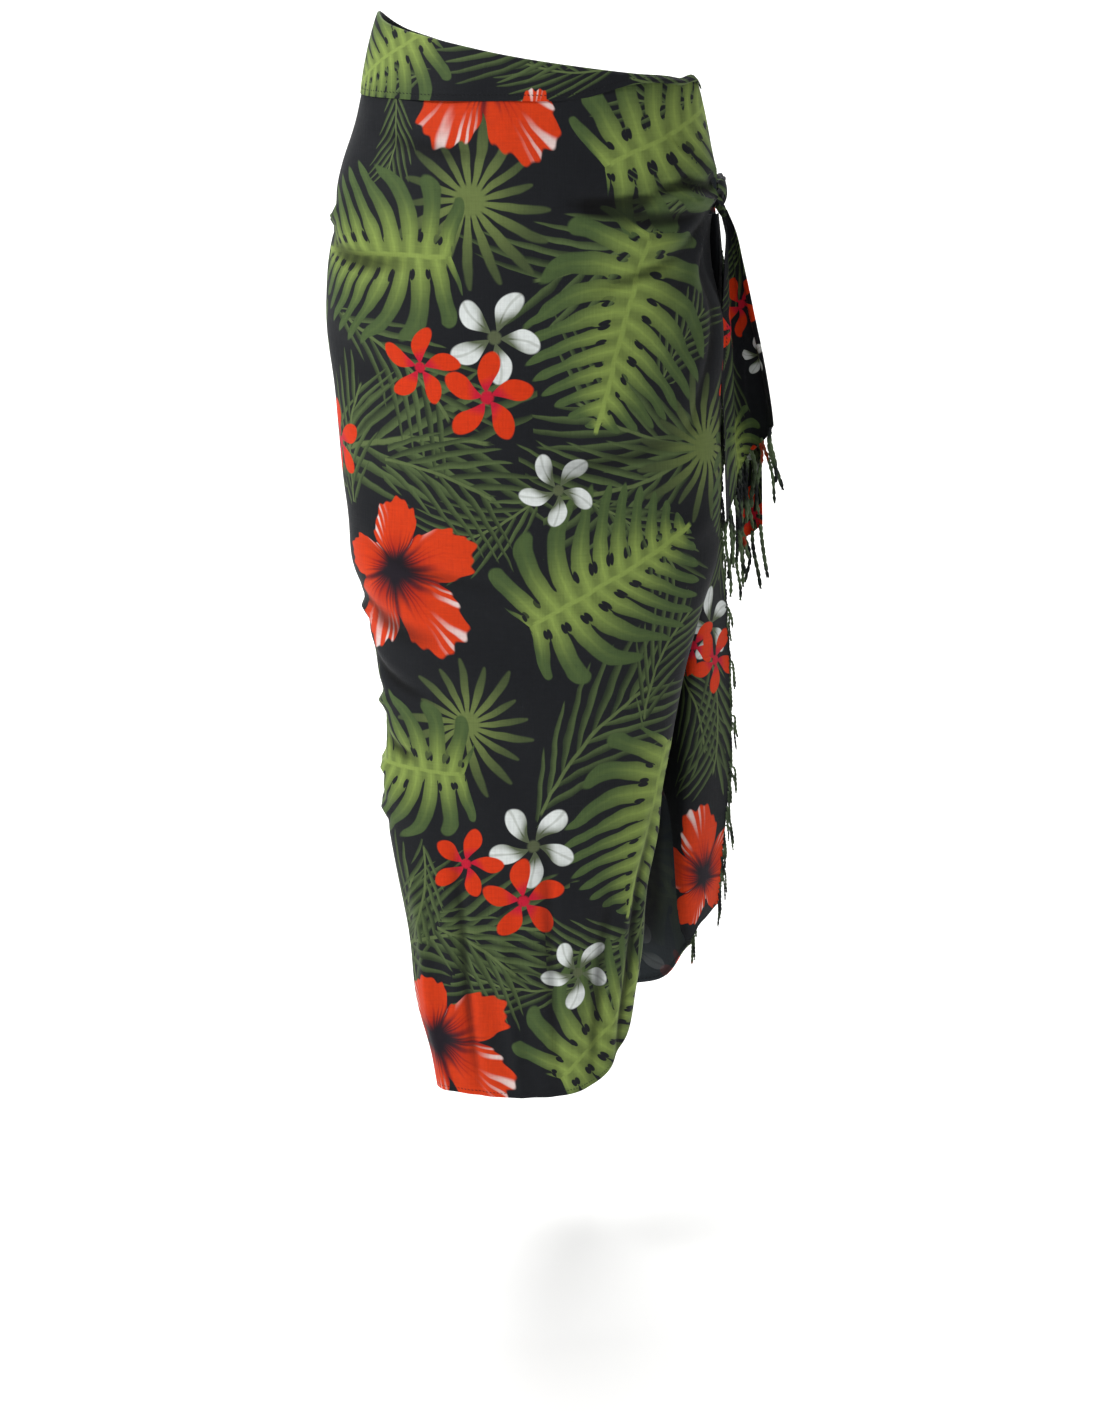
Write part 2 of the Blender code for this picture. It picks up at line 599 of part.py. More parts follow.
def make_falls_and_fringes():
    fall = fall_grid()
    normals = fall_normals(fall)
    hanging_solid("front_fall", fall, normals)
    middle = fall - normals * WALL / 2
    make_fringe("fall_fringe", trimmed(middle[-1], 2, 1), trimmed(middle[-2], 2, 1),
                trimmed(normals[-1], 2, 1), EDGE_STRAND_PITCH, EDGE_STRAND_LENGTH, EDGE_SWING, FRINGE_SEED)
    back = tube_grid(np.linspace(-1, -0.94, 3), tube_heights)
    normals = grid_normals(back)
    middle = back - normals * WALL / 2
    make_fringe("back_fringe", trimmed(middle[0], 3, 1), trimmed(middle[1], 3, 1),
                trimmed(normals[0], 3, 1), EDGE_STRAND_PITCH, EDGE_STRAND_LENGTH, EDGE_SWING, FRINGE_SEED + 1)
    tails = (("front_tail", FRONT_TAIL_ROWS, FRONT_TAIL_BOTTOM), ("back_tail", BACK_TAIL_ROWS, BACK_TAIL_BOTTOM))
    for number, (name, rows, bottom) in enumerate(tails):
        grid = tail_grid(rows, bottom)
        normals = grid_normals(grid)
        hanging_solid(name, grid, normals)
        middle = grid - normals * WALL / 2
        make_fringe(name + "_fringe", middle[:, -1], middle[:, -2], normals[:, -1],
                    TAIL_STRAND_PITCH, TAIL_STRAND_LENGTHS[number], TAIL_SWINGS[number],
                    FRINGE_SEED + 2 + number)


def main():
    clear_scene()
    make_front_stretch()
    make_back_stretch()
    make_waist_folds()
    make_knot()
    make_falls_and_fringes()


main()
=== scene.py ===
import math
import random

import bpy
import numpy as np
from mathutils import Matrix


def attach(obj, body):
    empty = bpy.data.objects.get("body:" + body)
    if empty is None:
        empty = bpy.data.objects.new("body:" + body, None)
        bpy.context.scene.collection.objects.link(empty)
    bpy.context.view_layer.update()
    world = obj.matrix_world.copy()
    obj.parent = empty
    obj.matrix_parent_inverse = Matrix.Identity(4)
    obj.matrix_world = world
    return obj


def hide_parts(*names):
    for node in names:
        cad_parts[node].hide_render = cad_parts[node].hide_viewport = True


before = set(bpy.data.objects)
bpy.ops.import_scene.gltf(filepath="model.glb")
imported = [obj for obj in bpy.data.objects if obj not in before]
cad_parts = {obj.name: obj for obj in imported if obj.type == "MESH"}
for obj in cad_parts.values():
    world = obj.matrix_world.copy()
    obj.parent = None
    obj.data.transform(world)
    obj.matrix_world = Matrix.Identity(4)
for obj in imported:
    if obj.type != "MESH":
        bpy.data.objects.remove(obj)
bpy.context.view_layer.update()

# lengths are metres, and millimetres in the tables of rows
cloth = {"wall": 0.0008, "hemStart": 0.0055, "knotBottom": -0.1276,
         "frontPower": 2.25, "backPower": 2.15}  # how squarish the plan is

# places in plan of the wound cloth's side, middle and far end, one row for each height
tubeNames = ("z", "sideX", "sideY", "frontX", "frontY", "foldX", "foldY", "backX", "backY", "endX",
             "endY")
tubeRows = (
    (40, -129, -4, 0, -88, 124, -20, 0, 88, 124, 22),
    (0, -138, -3, 0, -93, 130, -20, 0, 98, 131, 22),
    (-40, -149, -2, 0, -98, 136, -19, 0, 110, 137, 23),
    (-80, -161, -1, 0, -103, 143, -18, 0, 121, 144, 25),
    (-112, -170, -1, 0, -105, 148, -18, 0, 128, 149, 28),
    (-140, -175, 0, 0, -106, 139, -20, 0, 132, 150, 31),
    (-170, -178, 0, 0, -107, 137, -20, 0, 135, 150, 34),
    (-205, -179, -1, 0, -108, 151, -20, 0, 136, 150, 37),
    (-285, -174, -6, 0, -109, 153, -24, 2, 134, 150, 45),
    (-370, -167, -14, 0, -109, 155, -30, 6, 134, 150, 53),
    (-420, -163, -20, 0, -108, 153, -40, 9, 137, 150, 59),
    (-462, -151, -25, 0, -106, 138, -50, 12, 141, 150, 64),
    (-545, -136, -36, 0, -103, 120, -50, 18, 151, 150, 75),
    (-630, -137, -46, 0, -101, 107, -50, 23, 163, 149, 86),
    (-725, -122, -57, -1, -100, 95, -50, 28, 178, 148, 98),
    (-825, -108, -67, -2, -100, 86, -50, 32, 193, 148, 109),
    (-930, -86, -76, -3, -100, 74, -48, 36, 206, 146, 118),
)
# heights of the edges, from the back half's end (-1) by the right hip (0) to the fold under the knot (1)
edgeNames = ("along", "top", "band", "hem")
edgeRows = (
    (-1, -104, -108, -834), (-0.94, -52, -58, -853),
    (-0.88, -38, -45, -892), (-0.8, -31, -41, -911),
    (-0.62, -20, -46, -918), (-0.4, -2, -48, -914),
    (-0.2, 16, -44, -905), (0, 31, -33, -897),
    (0.14, 20, -35, -896), (0.3, 7.5, -37.5, -897),
    (0.46, -4, -37.5, -897), (0.62, -12.5, -36, -896),
    (0.74, -17.5, -25, -888), (0.85, -21, -26, -868),
    (0.94, -31, -36, -842), (1, -100, -105, -812),
)
# places in plan of the cloth beyond that fold
fallNames = ("z", "offX", "offY", "valleyX", "valleyY", "ridgeX", "ridgeY", "edgeX", "edgeY")
fallRows = (
    (-127, 4, 14, 143, 3, 148.5, -2, 151, 6),
    (-170, 8, 12, 140, 10, 151, -1, 156, 12),
    (-210, 0, 0, 137, 16, 150, 0, 157.5, 18),
    (-285, 0, 0, 131, 26, 149, 0, 159, 26),
    (-370, 0, 0, 124, 36, 148, -2, 160, 29),
    (-420, 0, 0, 119, 42, 144, -6, 162, 30),
    (-462, 0, 0, 115, 47, 140, -10, 166, 30),
    (-545, 0, 0, 108, 54, 135, -9, 172, 30),
    (-630, 0, 0, 103, 58, 132.5, -6, 174, 31),
    (-725, 0, 0, 101, 60, 133, -5, 168, 32),
    (-850, 0, 0, 100, 60, 134, -5, 162, 32),
)
fallHemRows = (  # from the fold (0) to the free edge (1), and the hem's height
    (0, -812), (0.12, -770), (0.28, -690), (0.42, -646), (0.58, -648), (0.7, -690), (0.77, -774),
    (0.88, -772), (1, -762),
)


def sortedTable(names, rows):  # named columns in metres, lowest row first
    values = np.array(sorted(rows), float)
    return {name: values[:, i] / (1 if name == "along" else 1000) for i, name in enumerate(names)}


def readTable(table, key, name, at):  # a smooth curve through one column
    x, y = table[key], table[name]
    at = np.clip(np.asarray(at, float), x[0], x[-1])
    slope = np.gradient(y, x)
    i = np.clip(np.searchsorted(x, at, side="right") - 1, 0, len(x) - 2)
    step = x[i + 1] - x[i]
    t = (at - x[i]) / step
    rise = t * t * (3 - 2 * t)
    bend = slope[i] * t * (1 - t) ** 2 - slope[i + 1] * t * t * (1 - t)
    return y[i] * (1 - rise) + y[i + 1] * rise + step * bend


tube = sortedTable(tubeNames, tubeRows)
edges = sortedTable(edgeNames, edgeRows)
fallPlan = sortedTable(fallNames, fallRows)
fallHem = sortedTable(("along", "hem"), fallHemRows)


def lengthAlong(path):  # how far each point of a path lies from its start
    steps = np.linalg.norm(np.diff(path, axis=-2), axis=-1)
    return np.concatenate([np.zeros_like(steps[..., :1]), np.cumsum(steps, -1)], -1)


def squarish(start, end, power, leavesAlongY, samples=110):  # a quarter of a squarish ellipse
    turn = np.linspace(0, math.pi / 2, samples)[None, :]
    wide = np.sin(turn) ** (2 / power)
    deep = 1 - np.cos(turn) ** (2 / power)
    kx, ky = (deep, wide) if leavesAlongY else (wide, deep)
    x = start[0][:, None] + (end[0] - start[0])[:, None] * kx
    y = start[1][:, None] + (end[1] - start[1])[:, None] * ky
    return np.stack([x, y], 2)


def planPoints(along, z):  # places in plan, and how far round they are from the front's middle
    along, z = np.broadcast_arrays(np.asarray(along, float), np.asarray(z, float))
    shape = along.shape
    along, z = along.ravel(), z.ravel()
    points = np.zeros((len(z), 2))
    around = np.zeros(len(z))
    for front in (True, False):
        for picked in np.array_split(np.nonzero((along >= 0) == front)[0], 24):
            if len(picked) == 0:
                continue
            row = {name: readTable(tube, "z", name, z[picked]) for name in tubeNames[1:]}
            side, frontMiddle, backMiddle, fold, end = (
                (row[part + "X"], row[part + "Y"]) for part in ("side", "front", "back", "fold", "end"))
            middle, last = (frontMiddle, fold) if front else (backMiddle, end)
            power = cloth["frontPower"] if front else cloth["backPower"]
            first = squarish(side, middle, power, True)
            path = np.concatenate([first, squarish(middle, last, power, False)[:, 1:]], 1)
            length = lengthAlong(path)
            at = np.abs(along[picked]) * length[:, -1]
            i = np.clip((length <= at[:, None]).sum(1) - 1, 0, path.shape[1] - 2)
            k = np.arange(len(picked))
            t = ((at - length[k, i]) / np.maximum(length[k, i + 1] - length[k, i], 1e-9))[:, None]
            points[picked] = path[k, i] * (1 - t) + path[k, i + 1] * t
            half = length[:, first.shape[1] - 1]
            if front:
                around[picked] = at - half
            else:
                frontSide = squarish(side, frontMiddle, cloth["frontPower"], True)
                around[picked] = -lengthAlong(frontSide)[:, -1] - at
    return points.reshape(*shape, 2), around.reshape(shape)


# a crease hangs in a shallow bow, and the cloth beside it lifts or sinks a little the other way
crease = {"halfGirth": 0.45, "sag": 0.05, "beside": 0.28, "besideAt": 2.1, "besideWidth": 1.2}
# laid one by one: from one place to another (along, height), how far the cloth lifts, and half the width
creaseRows = (
    (0.995, -106, 0.84, -101, -6.6, 6.6), (0.85, -101, 0.6, -117, -6, 7),
    (0.99, -120, 0.64, -122, -6.2, 6.8), (0.985, -132, 0.78, -142, -4.2, 6.6),
    (0.97, -118, 0.62, -150, 2.6, 11), (0.03, -149, 0.3, -165, -4, 10),
    (0, -440, 0.28, -480, -3.6, 14), (0.92, -640, 0.86, -880, -5, 12),
    (0.78, -700, 0.72, -890, -3.4, 15), (0.02, -600, 0.22, -640, 3, 16),
    (-0.99, -116, -0.62, -85, -3.8, 8), (-0.98, -124, -0.6, -170, -3.6, 10),
    (-0.96, -140, -0.72, -300, -3, 12), (-0.25, -330, -0.62, -345, -5, 16),
    (-0.35, -480, -0.32, -880, -9, 20), (-0.58, -420, -0.6, -900, -8, 22),
    (-0.46, -560, -0.46, -900, 6, 18), (-0.8, -520, -0.84, -850, -7, 18),
    # finer ones drawn in by the knot
    (0.985, -108, 0.8, -62, -3.1, 4.2), (0.985, -112, 0.72, -105, 3, 4.2),
    (0.985, -123, 0.58, -131, -2.4, 5.5), (0.975, -128, 0.66, -186, -3.4, 6),
    (0.97, -136, 0.78, -236, 2.7, 7), (0.965, -150, 0.86, -300, -3.7, 7.5),
    (-0.985, -109, -0.78, -66, -2.9, 4.5), (-0.985, -120, -0.7, -128, 2.7, 5),
    (-0.975, -130, -0.64, -226, -3.2, 6.5), (-0.965, -152, -0.84, -330, 3.6, 8),
    # soft ones across the hips and thighs, and small ridges at the right side
    (0.16, -60, 0.44, -78, -2.7, 8), (0.1, -210, 0.34, -236, 2.7, 12),
    (0.48, -330, 0.86, -300, -2.7, 11), (0.62, -420, 0.94, -372, 2.4, 12),
    (0.12, -395, 0.46, -430, -2.4, 9), (-0.07, -132, 0.08, -128, 4.2, 5),
    (-0.06, -462, 0.09, -460, 4, 4.5), (-0.06, -543, 0.08, -540, 4.6, 5),
    (-0.07, -598, 0.07, -600, 4, 4.2), (-0.06, -632, 0.08, -640, 3.8, 5.5),
    (0.02, -500, 0.22, -530, -4.1, 7), (0.03, -570, 0.18, -585, -3.7, 6.5),
    # lengthwise ones below the knees
    (0.28, -660, 0.24, -890, -3.4, 10), (0.4, -720, 0.42, -892, 3.1, 12),
    (0.56, -640, 0.58, -892, -2.7, 13), (0.12, -700, 0.08, -892, 3.7, 12),
    (-0.12, -560, -0.1, -890, -3, 15), (-0.22, -640, -0.21, -895, 3, 16),
    (-0.7, -460, -0.71, -905, 5, 17), (-0.91, -360, -0.93, -840, 3, 14),
    (-0.3, -200, -0.66, -216, 3.4, 15), (-0.2, -262, -0.48, -280, -3.7, 12),
)


def creaseHeight(along, z):
    push = np.zeros(np.broadcast(along, z).shape)
    for alongA, zA, alongB, zB, lift, width in np.array(creaseRows) / (1, 1000, 1, 1000, 1000, 1000):
        run = np.array([(alongB - alongA) * crease["halfGirth"], zB - zA])
        hereU, hereZ = (along - alongA) * crease["halfGirth"], z - zA
        reach = (hereU * run[0] + hereZ * run[1]) / (run @ run)
        near = np.clip(reach, 0, 1)
        sag = crease["sag"] * math.hypot(*run) * 4 * near * (1 - near) * (abs(run[0]) > abs(run[1]))
        away = np.hypot(hereU - near * run[0], hereZ - near * run[1] + sag)
        fade = np.sin(math.pi * np.clip(0.12 + 0.76 * reach, 0, 1))
        beside = (away - crease["besideAt"] * width) / (crease["besideWidth"] * width)
        ridge = np.exp(-((away / width) ** 2)) - crease["beside"] * np.exp(-(beside ** 2))
        push += lift * fade * ridge
    return push


def woundPoints(along, z, out=0.0):  # the wound cloth's outer face, and the distance round it
    step = 0.004
    here, around = planPoints(along, z)
    after, _ = planPoints(np.minimum(along + step, 1.0), z)
    before, _ = planPoints(np.maximum(along - step, -1.0), z)
    run = after - before
    normal = np.stack([run[..., 1], -run[..., 0]], -1) / np.linalg.norm(run, axis=-1, keepdims=True)
    plan = here + normal * (out + creaseHeight(along, z))[..., None]
    height = np.broadcast_to(z, around.shape)
    return np.concatenate([plan, height[..., None]], -1), around


def smoothPath(stops, count):  # a smooth run of points through a few stops
    stops = np.array(stops, float)
    table = {"at": lengthAlong(stops), **{i: stops[:, i] for i in range(stops.shape[1])}}
    fine = np.linspace(0, table["at"][-1], count)
    return np.stack([readTable(table, "at", i, fine) for i in range(stops.shape[1])], 1)


def pointAt(path, length, at):  # the point of a path at some length along it
    return np.array([np.interp(at, length, path[:, i]) for i in range(path.shape[1])])


def curveThrough(stops, fraction):  # a point of a smooth curve, at a fraction of its length
    path = smoothPath(stops, 90)
    length = lengthAlong(path)
    return pointAt(path, length, fraction * length[-1]), length[-1]


def quadsOf(index):  # faces of a grid of point numbers, columns first, rows downwards
    a, b, c, d = index[:-1, :-1], index[:-1, 1:], index[1:, 1:], index[1:, :-1]
    return np.stack([a, b, c, d], -1).reshape(-1, 4)


def pointNormals(points, quads):
    across = points[quads[:, 2]] - points[quads[:, 0]]
    other = points[quads[:, 3]] - points[quads[:, 1]]
    face = np.cross(across, other)
    normals = np.zeros_like(points)
    for k in range(4):
        np.add.at(normals, quads[:, k], face)
    return normals / np.maximum(np.linalg.norm(normals, axis=1, keepdims=True), 1e-12)


def linked(name, data):  # a new object in the scene
    added = bpy.data.objects.new(name, data)
    bpy.context.scene.collection.objects.link(added)
    return added


def smoothMesh(name, points, faces):
    mesh = bpy.data.meshes.new(name)
    mesh.from_pydata(points.tolist(), [], faces.tolist())
    mesh.shade_smooth()
    return mesh


def addClothMap(mesh, corners):
    layer = mesh.uv_layers.new(name="Cloth")
    layer.data.foreach_set("uv", corners.astype(np.float32).ravel())


def sheetMesh(name, points, quads, u, v, thick, materials):  # a thin shell with its rims closed
    normals = pointNormals(points, quads)
    count = len(points)
    inner = points - normals * np.broadcast_to(thick, (count,))[:, None]
    directed = np.concatenate([quads[:, [k, (k + 1) % 4]] for k in range(4)])
    key = directed.min(1) * count + directed.max(1)
    _, first, times = np.unique(key, return_index=True, return_counts=True)
    rim = directed[first[times == 1]]
    rims = np.stack([rim[:, 1], rim[:, 0], rim[:, 0] + count, rim[:, 1] + count], 1)
    faces = np.concatenate([quads, quads[:, ::-1] + count, rims])
    mesh = smoothMesh(name, np.concatenate([points, inner]), faces)
    side = np.repeat([0, 1, 0], [len(quads), len(quads), len(rims)])
    mesh.polygons.foreach_set("material_index", side.astype(np.int32))
    mesh.validate()
    mesh.set_sharp_from_angle(angle=math.radians(60))
    for material in materials:
        mesh.materials.append(material)
    addClothMap(mesh, np.stack([np.tile(u, 2), np.tile(v, 2)], 1)[faces.ravel()])
    return linked(name, mesh)


def addPointValue(piece, name, values):  # one number for each point, the same on both faces
    attribute = piece.data.attributes.new(name, "FLOAT", "POINT")
    attribute.data.foreach_set("value", np.resize(values, len(piece.data.vertices)).astype(np.float32))


def motifRows(**kinds):
    return [(kind, *row) for kind, rows in kinds.items() for row in rows]


# each motif's place in cm (round from the front's middle, height), turn, size in cm and variety
printRows = motifRows(
    palm=(
        (4.8, -15.1, 204, 9.8, 0.2), (-11.2, -25.7, 317, 8.5, 0.61), (-16.5, -30.5, 78, 7, 0.33),
        (8.2, -29.2, 159, 9.2, 0.47), (7.2, -33.5, 195, 10, 0.13), (-11.6, -32, 7, 12.8, 0.71),
        (-8.7, -34.2, 342, 8.4, 0.27), (-4.8, -37.6, 204, 6.5, 0.83), (11.6, -49, 61, 6.6, 0.41),
        (5.9, -55.9, 45, 9.6, 0.17), (-6.2, -75.9, 332, 8, 0.57), (-5.7, -75, 10, 10.5, 0.29),
        (-2.8, -78.4, 168, 7, 0.77), (-11.4, -73.4, 84, 7.4, 0.11), (8.1, -76.8, 234, 6.6, 0.63),
        (4.9, -75.2, 182, 7.2, 0.36), (-12.4, -6.7, 262, 4.4, 0.52), (9.9, -3.4, 176, 5.6, 0.91),
        (11.3, -10.7, 187, 4.6, 0.23), (12.8, -22.8, 49, 5.4, 0.67), (-19.1, -50, 130, 6.2, 0.45),
        (-11.1, -72.2, 256, 6.2, 0.87), (9.1, -39.6, 315, 6.4, 0.39),
    ),
    star=((-5.5, -11.4, 20, 8.3, 0.31), (15, -31.7, 170, 8.5, 0.62), (-6.3, -55.1, 10, 7.4, 0.78)),
    leaf=(
        (-14.6, -15.8, 180, 8.5, 0.12), (6.8, -22, 255, 9.4, 0.43), (6.2, -42.1, 31, 9.2, 0.25),
        (-13.4, -59.5, 180, 7.8, 0.66), (10, -65.3, 256, 9.2, 0.58), (13, -5.4, 24, 9.4, 0.81),
        (7.5, -82.4, 46, 8.8, 0.34),
    ),
    hibiscus=((-12.5, -41.7, 309, 10, 0.5), (-9.2, -84.4, 322, 9.8, 0.5), (-4, -0.6, 300, 9.9, 0.5)),
    white=(
        (-3.6, -22.2, 95, 4.2, 0.1), (1.6, -34.6, 88, 3.4, 0.4), (-0.5, -65.9, 95, 4.2, 0.7),
        (3.5, -77.8, 85, 3.4, 0.3),
    ),
    orange=(
        (-9.8, -24.7, 117, 3.4, 0.2), (-4.2, -27, 127, 4.1, 0.6), (-6.4, -67.7, 117, 3.4, 0.8),
        (-1.3, -71, 127, 4.1, 0.1), (-24.4, -7.4, 100, 3.4, 0.5), (-19.4, -31.7, 140, 3.7, 0.9),
    ),
)
# the same print where it runs on into the valley and the hanging strip
stripPrint = motifRows(
    palm=(
        (36.4, -41.5, 262, 6, 0.6), (34.6, -58.6, 266, 7.4, 0.3), (32, -57, 288, 6.6, 0.7),
        (24, -50, 120, 8, 0.8), (29, -24, 240, 7, 0.45),
    ),
    leaf=((20.2, -36, 265, 5.4, 0.5), (27.5, -34, 300, 7.6, 0.2)),
    hibiscus=((33, -72.8, 95, 8.2, 0.5), (28.4, -46, 200, 6.4, 0.5)),
    white=((34.4, -48.8, 60, 3.5, 0.2),),
    orange=(
        (35.2, -52.2, 20, 3.5, 0.7), (32.2, -50.4, 75, 3.1, 0.3), (20.4, -24.4, 40, 2.6, 0.6),
        (19.8, -27.4, 10, 2.4, 0.9),
    ),
)
# and where it runs on round the right side
sidePrint = motifRows(
    leaf=((-26.5, -19.5, 100, 6.6, 0.37), (-25, -41.5, 80, 6.4, 0.15), (-22.8, -74.5, 95, 7, 0.72)),
    palm=(
        (-25.5, -28.5, 250, 6.2, 0.52), (-24.5, -48.5, 300, 5.8, 0.4), (-22.5, -69, 140, 6.4, 0.85),
        (-21, -84.5, 160, 6.2, 0.25), (-27, -88, 70, 6, 0.65),
    ),
    hibiscus=((-24.8, -60.5, 75, 7.2, 0.5),),
    white=((-28, -33, 20, 3.6, 0.35), (-24, -81.5, 50, 3.5, 0.6)),
    orange=((-25.5, -52.5, 30, 3.3, 0.3),),
)
printLayers = {
    "palm": ("palmA", "palmB", "palmC"),
    "leaf": ("leafA", "leafB"),
    "star": ("starA",),
    "hibiscus": ("hibiscusA",),
    "white": ("whiteA",),
    "orange": ("orangeA", "orangeB"),
}
printReach = {"palm": (0.98, 1.10), "leaf": (0.95, 1.20), "star": (1.02, 1.02), "hibiscus": (1.08, 1.08),
              "white": (1.04, 1.04), "orange": (1.04, 1.04)}
nowhere = 9.0  # what a face corner's place holds where no motif lies
enoughRoom = 1.15  # distance between two motifs of one layer, in their sizes


def repeated(rows, du, dv, height=86, top=6):  # the print further round, moved by part of a repeat
    moved = []
    for kind, u, v, turn, size, variety in rows:
        low = top - (top - v - dv) % height
        moved.append((kind, u + du, low, turn, size, variety))
        if low > top - 10:
            moved.append((kind, u + du, low - height, turn, size, variety))
    return moved


def chooseLayer(kind, u, v, size, placed):  # the first layer of its kind with room round the motif
    def room(name):
        gaps = [math.hypot(u - a, v - b) / (size + c) for a, b, c in placed[name]]
        return min(gaps, default=enoughRoom)
    names = printLayers[kind]
    return max(names, key=lambda name: (min(room(name), enoughRoom), -names.index(name)))


def printOn(piece, rows):  # gives each face corner its place in the motif that lies there
    uv = np.zeros(len(piece.data.loops) * 2, np.float32)
    piece.data.uv_layers["Cloth"].data.foreach_get("uv", uv)
    corners = uv.reshape(-1, 4, 2)
    faceU, faceV = corners[..., 0].mean(1), corners[..., 1].mean(1)
    placed = {name: [] for names in printLayers.values() for name in names}
    values = {name: np.full((len(corners), 4, 3), nowhere, np.float32) for name in placed}
    nearest = {name: np.full(len(corners), 1.0) for name in placed}
    for kind, u, v, turn, size, variety in rows:
        u, v, size = u / 100, v / 100, size / 100
        layer = chooseLayer(kind, u, v, size, placed)
        placed[layer].append((u, v, size))
        c, s = math.cos(math.radians(turn)), math.sin(math.radians(turn))
        reachX, reachY = printReach[kind]
        du, dv = faceU - u, faceV - v
        away = np.maximum(np.abs(du * s - dv * c) / reachX, np.abs(du * c + dv * s) / reachY) / size
        hit = np.nonzero(away < nearest[layer])[0]
        nearest[layer][hit] = away[hit]
        du, dv = corners[hit, :, 0] - u, corners[hit, :, 1] - v
        x, y = (du * s - dv * c) / size, (du * c + dv * s) / size
        values[layer][hit] = np.stack([x, y, np.full_like(x, variety)], -1)
    for name, value in values.items():
        attribute = piece.data.attributes.new(name, "FLOAT_VECTOR", "CORNER")
        attribute.data.foreach_set("vector", value.ravel())


def hexColour(text):  # an sRGB hex code as linear colour
    parts = [int(text[i:i + 2], 16) / 255 for i in (0, 2, 4)]
    return tuple(p / 12.92 if p <= 0.04045 else ((p + 0.055) / 1.055) ** 2.4 for p in parts) + (1.0,)


nodeKinds = {  # the node, its settings, the inputs that values go to, and the output used
    "smooth": ("ShaderNodeMapRange", {"interpolation_type": "SMOOTHSTEP"}, (0, 1, 2), 0),
    "pair": ("ShaderNodeCombineXYZ", {}, (0, 1), 0),
    "chance": ("ShaderNodeTexWhiteNoise", {"noise_dimensions": "2D"}, ("Vector",), "Value"),
    "noise": ("ShaderNodeTexNoise", {}, ("Vector", "Scale", "Detail"), 0),
    "noiseColour": ("ShaderNodeTexNoise", {}, ("Vector", "Scale", "Detail"), 1),
    "paint": ("ShaderNodeMix", {"data_type": "RGBA"}, (0, 6, 7), 2),
    "brighten": ("ShaderNodeHueSaturation", {}, ("Color", "Value"), 0),
    "uvMap": ("ShaderNodeUVMap", {"uv_map": "Cloth"}, (), "UV"),
    "vectorOf": ("ShaderNodeAttribute", {}, (), "Vector"),
    "valueOf": ("ShaderNodeAttribute", {}, (), "Fac"),
    "object": ("ShaderNodeTexCoord", {}, (), "Object"),
    "motif": ("ShaderNodeGroup", {}, ("Place", "Wobble"), "Colour"),
    "bump": ("ShaderNodeBump", {}, ("Strength", "Distance", "Height"), 0),
}
for operation in ("ADD", "SUBTRACT", "MULTIPLY", "DIVIDE", "ABSOLUTE", "FLOOR", "FRACT", "SIGN", "SINE",
                  "COSINE", "SQRT", "MAXIMUM", "POWER", "ARCTAN2", "GREATER_THAN"):
    nodeKinds[operation.lower()] = ("ShaderNodeMath", {"operation": operation}, (0, 1), 0)
for output, name in enumerate(("xOf", "yOf", "zOf")):
    nodeKinds[name] = ("ShaderNodeSeparateXYZ", {}, (0,), output)
bench = {"tree": None}  # the node tree that put() adds to


def put(kind, *values, **settings):  # adds one node with its settings, and links or sets its inputs
    nodeType, fixed, inputs, output = nodeKinds[kind]
    tree = bench["tree"]
    node = tree.nodes.new(nodeType)
    for name, value in {**fixed, **settings}.items():
        setattr(node, name, value)
    for number, value in zip(inputs, values):
        if isinstance(value, Wire):
            tree.links.new(value.socket, node.inputs[number])
        else:
            node.inputs[number].default_value = hexColour(value) if isinstance(value, str) else value
    return Wire(node.outputs[output])


class Wire:  # a node's output that sums and products can be written with
    def __init__(self, socket):
        self.socket = socket


for sign, operation in (("add", "add"), ("sub", "subtract"), ("mul", "multiply"), ("truediv", "divide")):
    setattr(Wire, f"__{sign}__", lambda self, other, operation=operation: put(operation, self, other))
    setattr(Wire, f"__r{sign}__", lambda self, other, operation=operation: put(operation, other, self))

unevenness = 0.035  # how far a motif's outline strays, as drawn by hand, in its size


def motifGroup(name, draw):  # a node group that gives a motif's colour and where it covers the ground
    tree = bpy.data.node_groups.new(name, "ShaderNodeTree")
    bench["tree"] = tree
    tree.interface.new_socket("Place", in_out="INPUT", socket_type="NodeSocketVector")
    tree.interface.new_socket("Wobble", in_out="INPUT", socket_type="NodeSocketVector")
    tree.interface.new_socket("Colour", in_out="OUTPUT", socket_type="NodeSocketColor")
    tree.interface.new_socket("Cover", in_out="OUTPUT", socket_type="NodeSocketFloat")
    start, end = tree.nodes.new("NodeGroupInput"), tree.nodes.new("NodeGroupOutput")
    place, wobble = Wire(start.outputs["Place"]), Wire(start.outputs["Wobble"])
    x = put("xOf", place) + (put("xOf", wobble) - 0.5) * unevenness
    y = put("yOf", place) + (put("yOf", wobble) - 0.5) * unevenness
    # rounded, so that a motif's chances are the same all over it
    variety = put("floor", put("zOf", place) * 100.0 + 0.5) / 100.0
    cover, colour = draw(x, y, variety)
    tree.links.new(colour.socket, end.inputs["Colour"])
    tree.links.new(cover.socket, end.inputs["Cover"])
    return tree


printColours = {
    "leaf": ("42542f", "7c8f46", "232c1d"),  # green, yellow-green at the rib, dark between the fingers
    "palm": ("1f281b", "51623a", "54633b"),  # a leaflet's dark side, its light side, the rib
    "star": ("253022", "616f3d"),  # tips, heart
    "white": ("ced3d1", "525b44", "545c41"),  # petal, throat, heart
    "orange": ("c43006", "b2102d"),  # petal, heart
    "hibiscus": ("c23409", "8c0f0a", "d3bcb8", "19131c"),  # petal, throat, streaks, heart
}
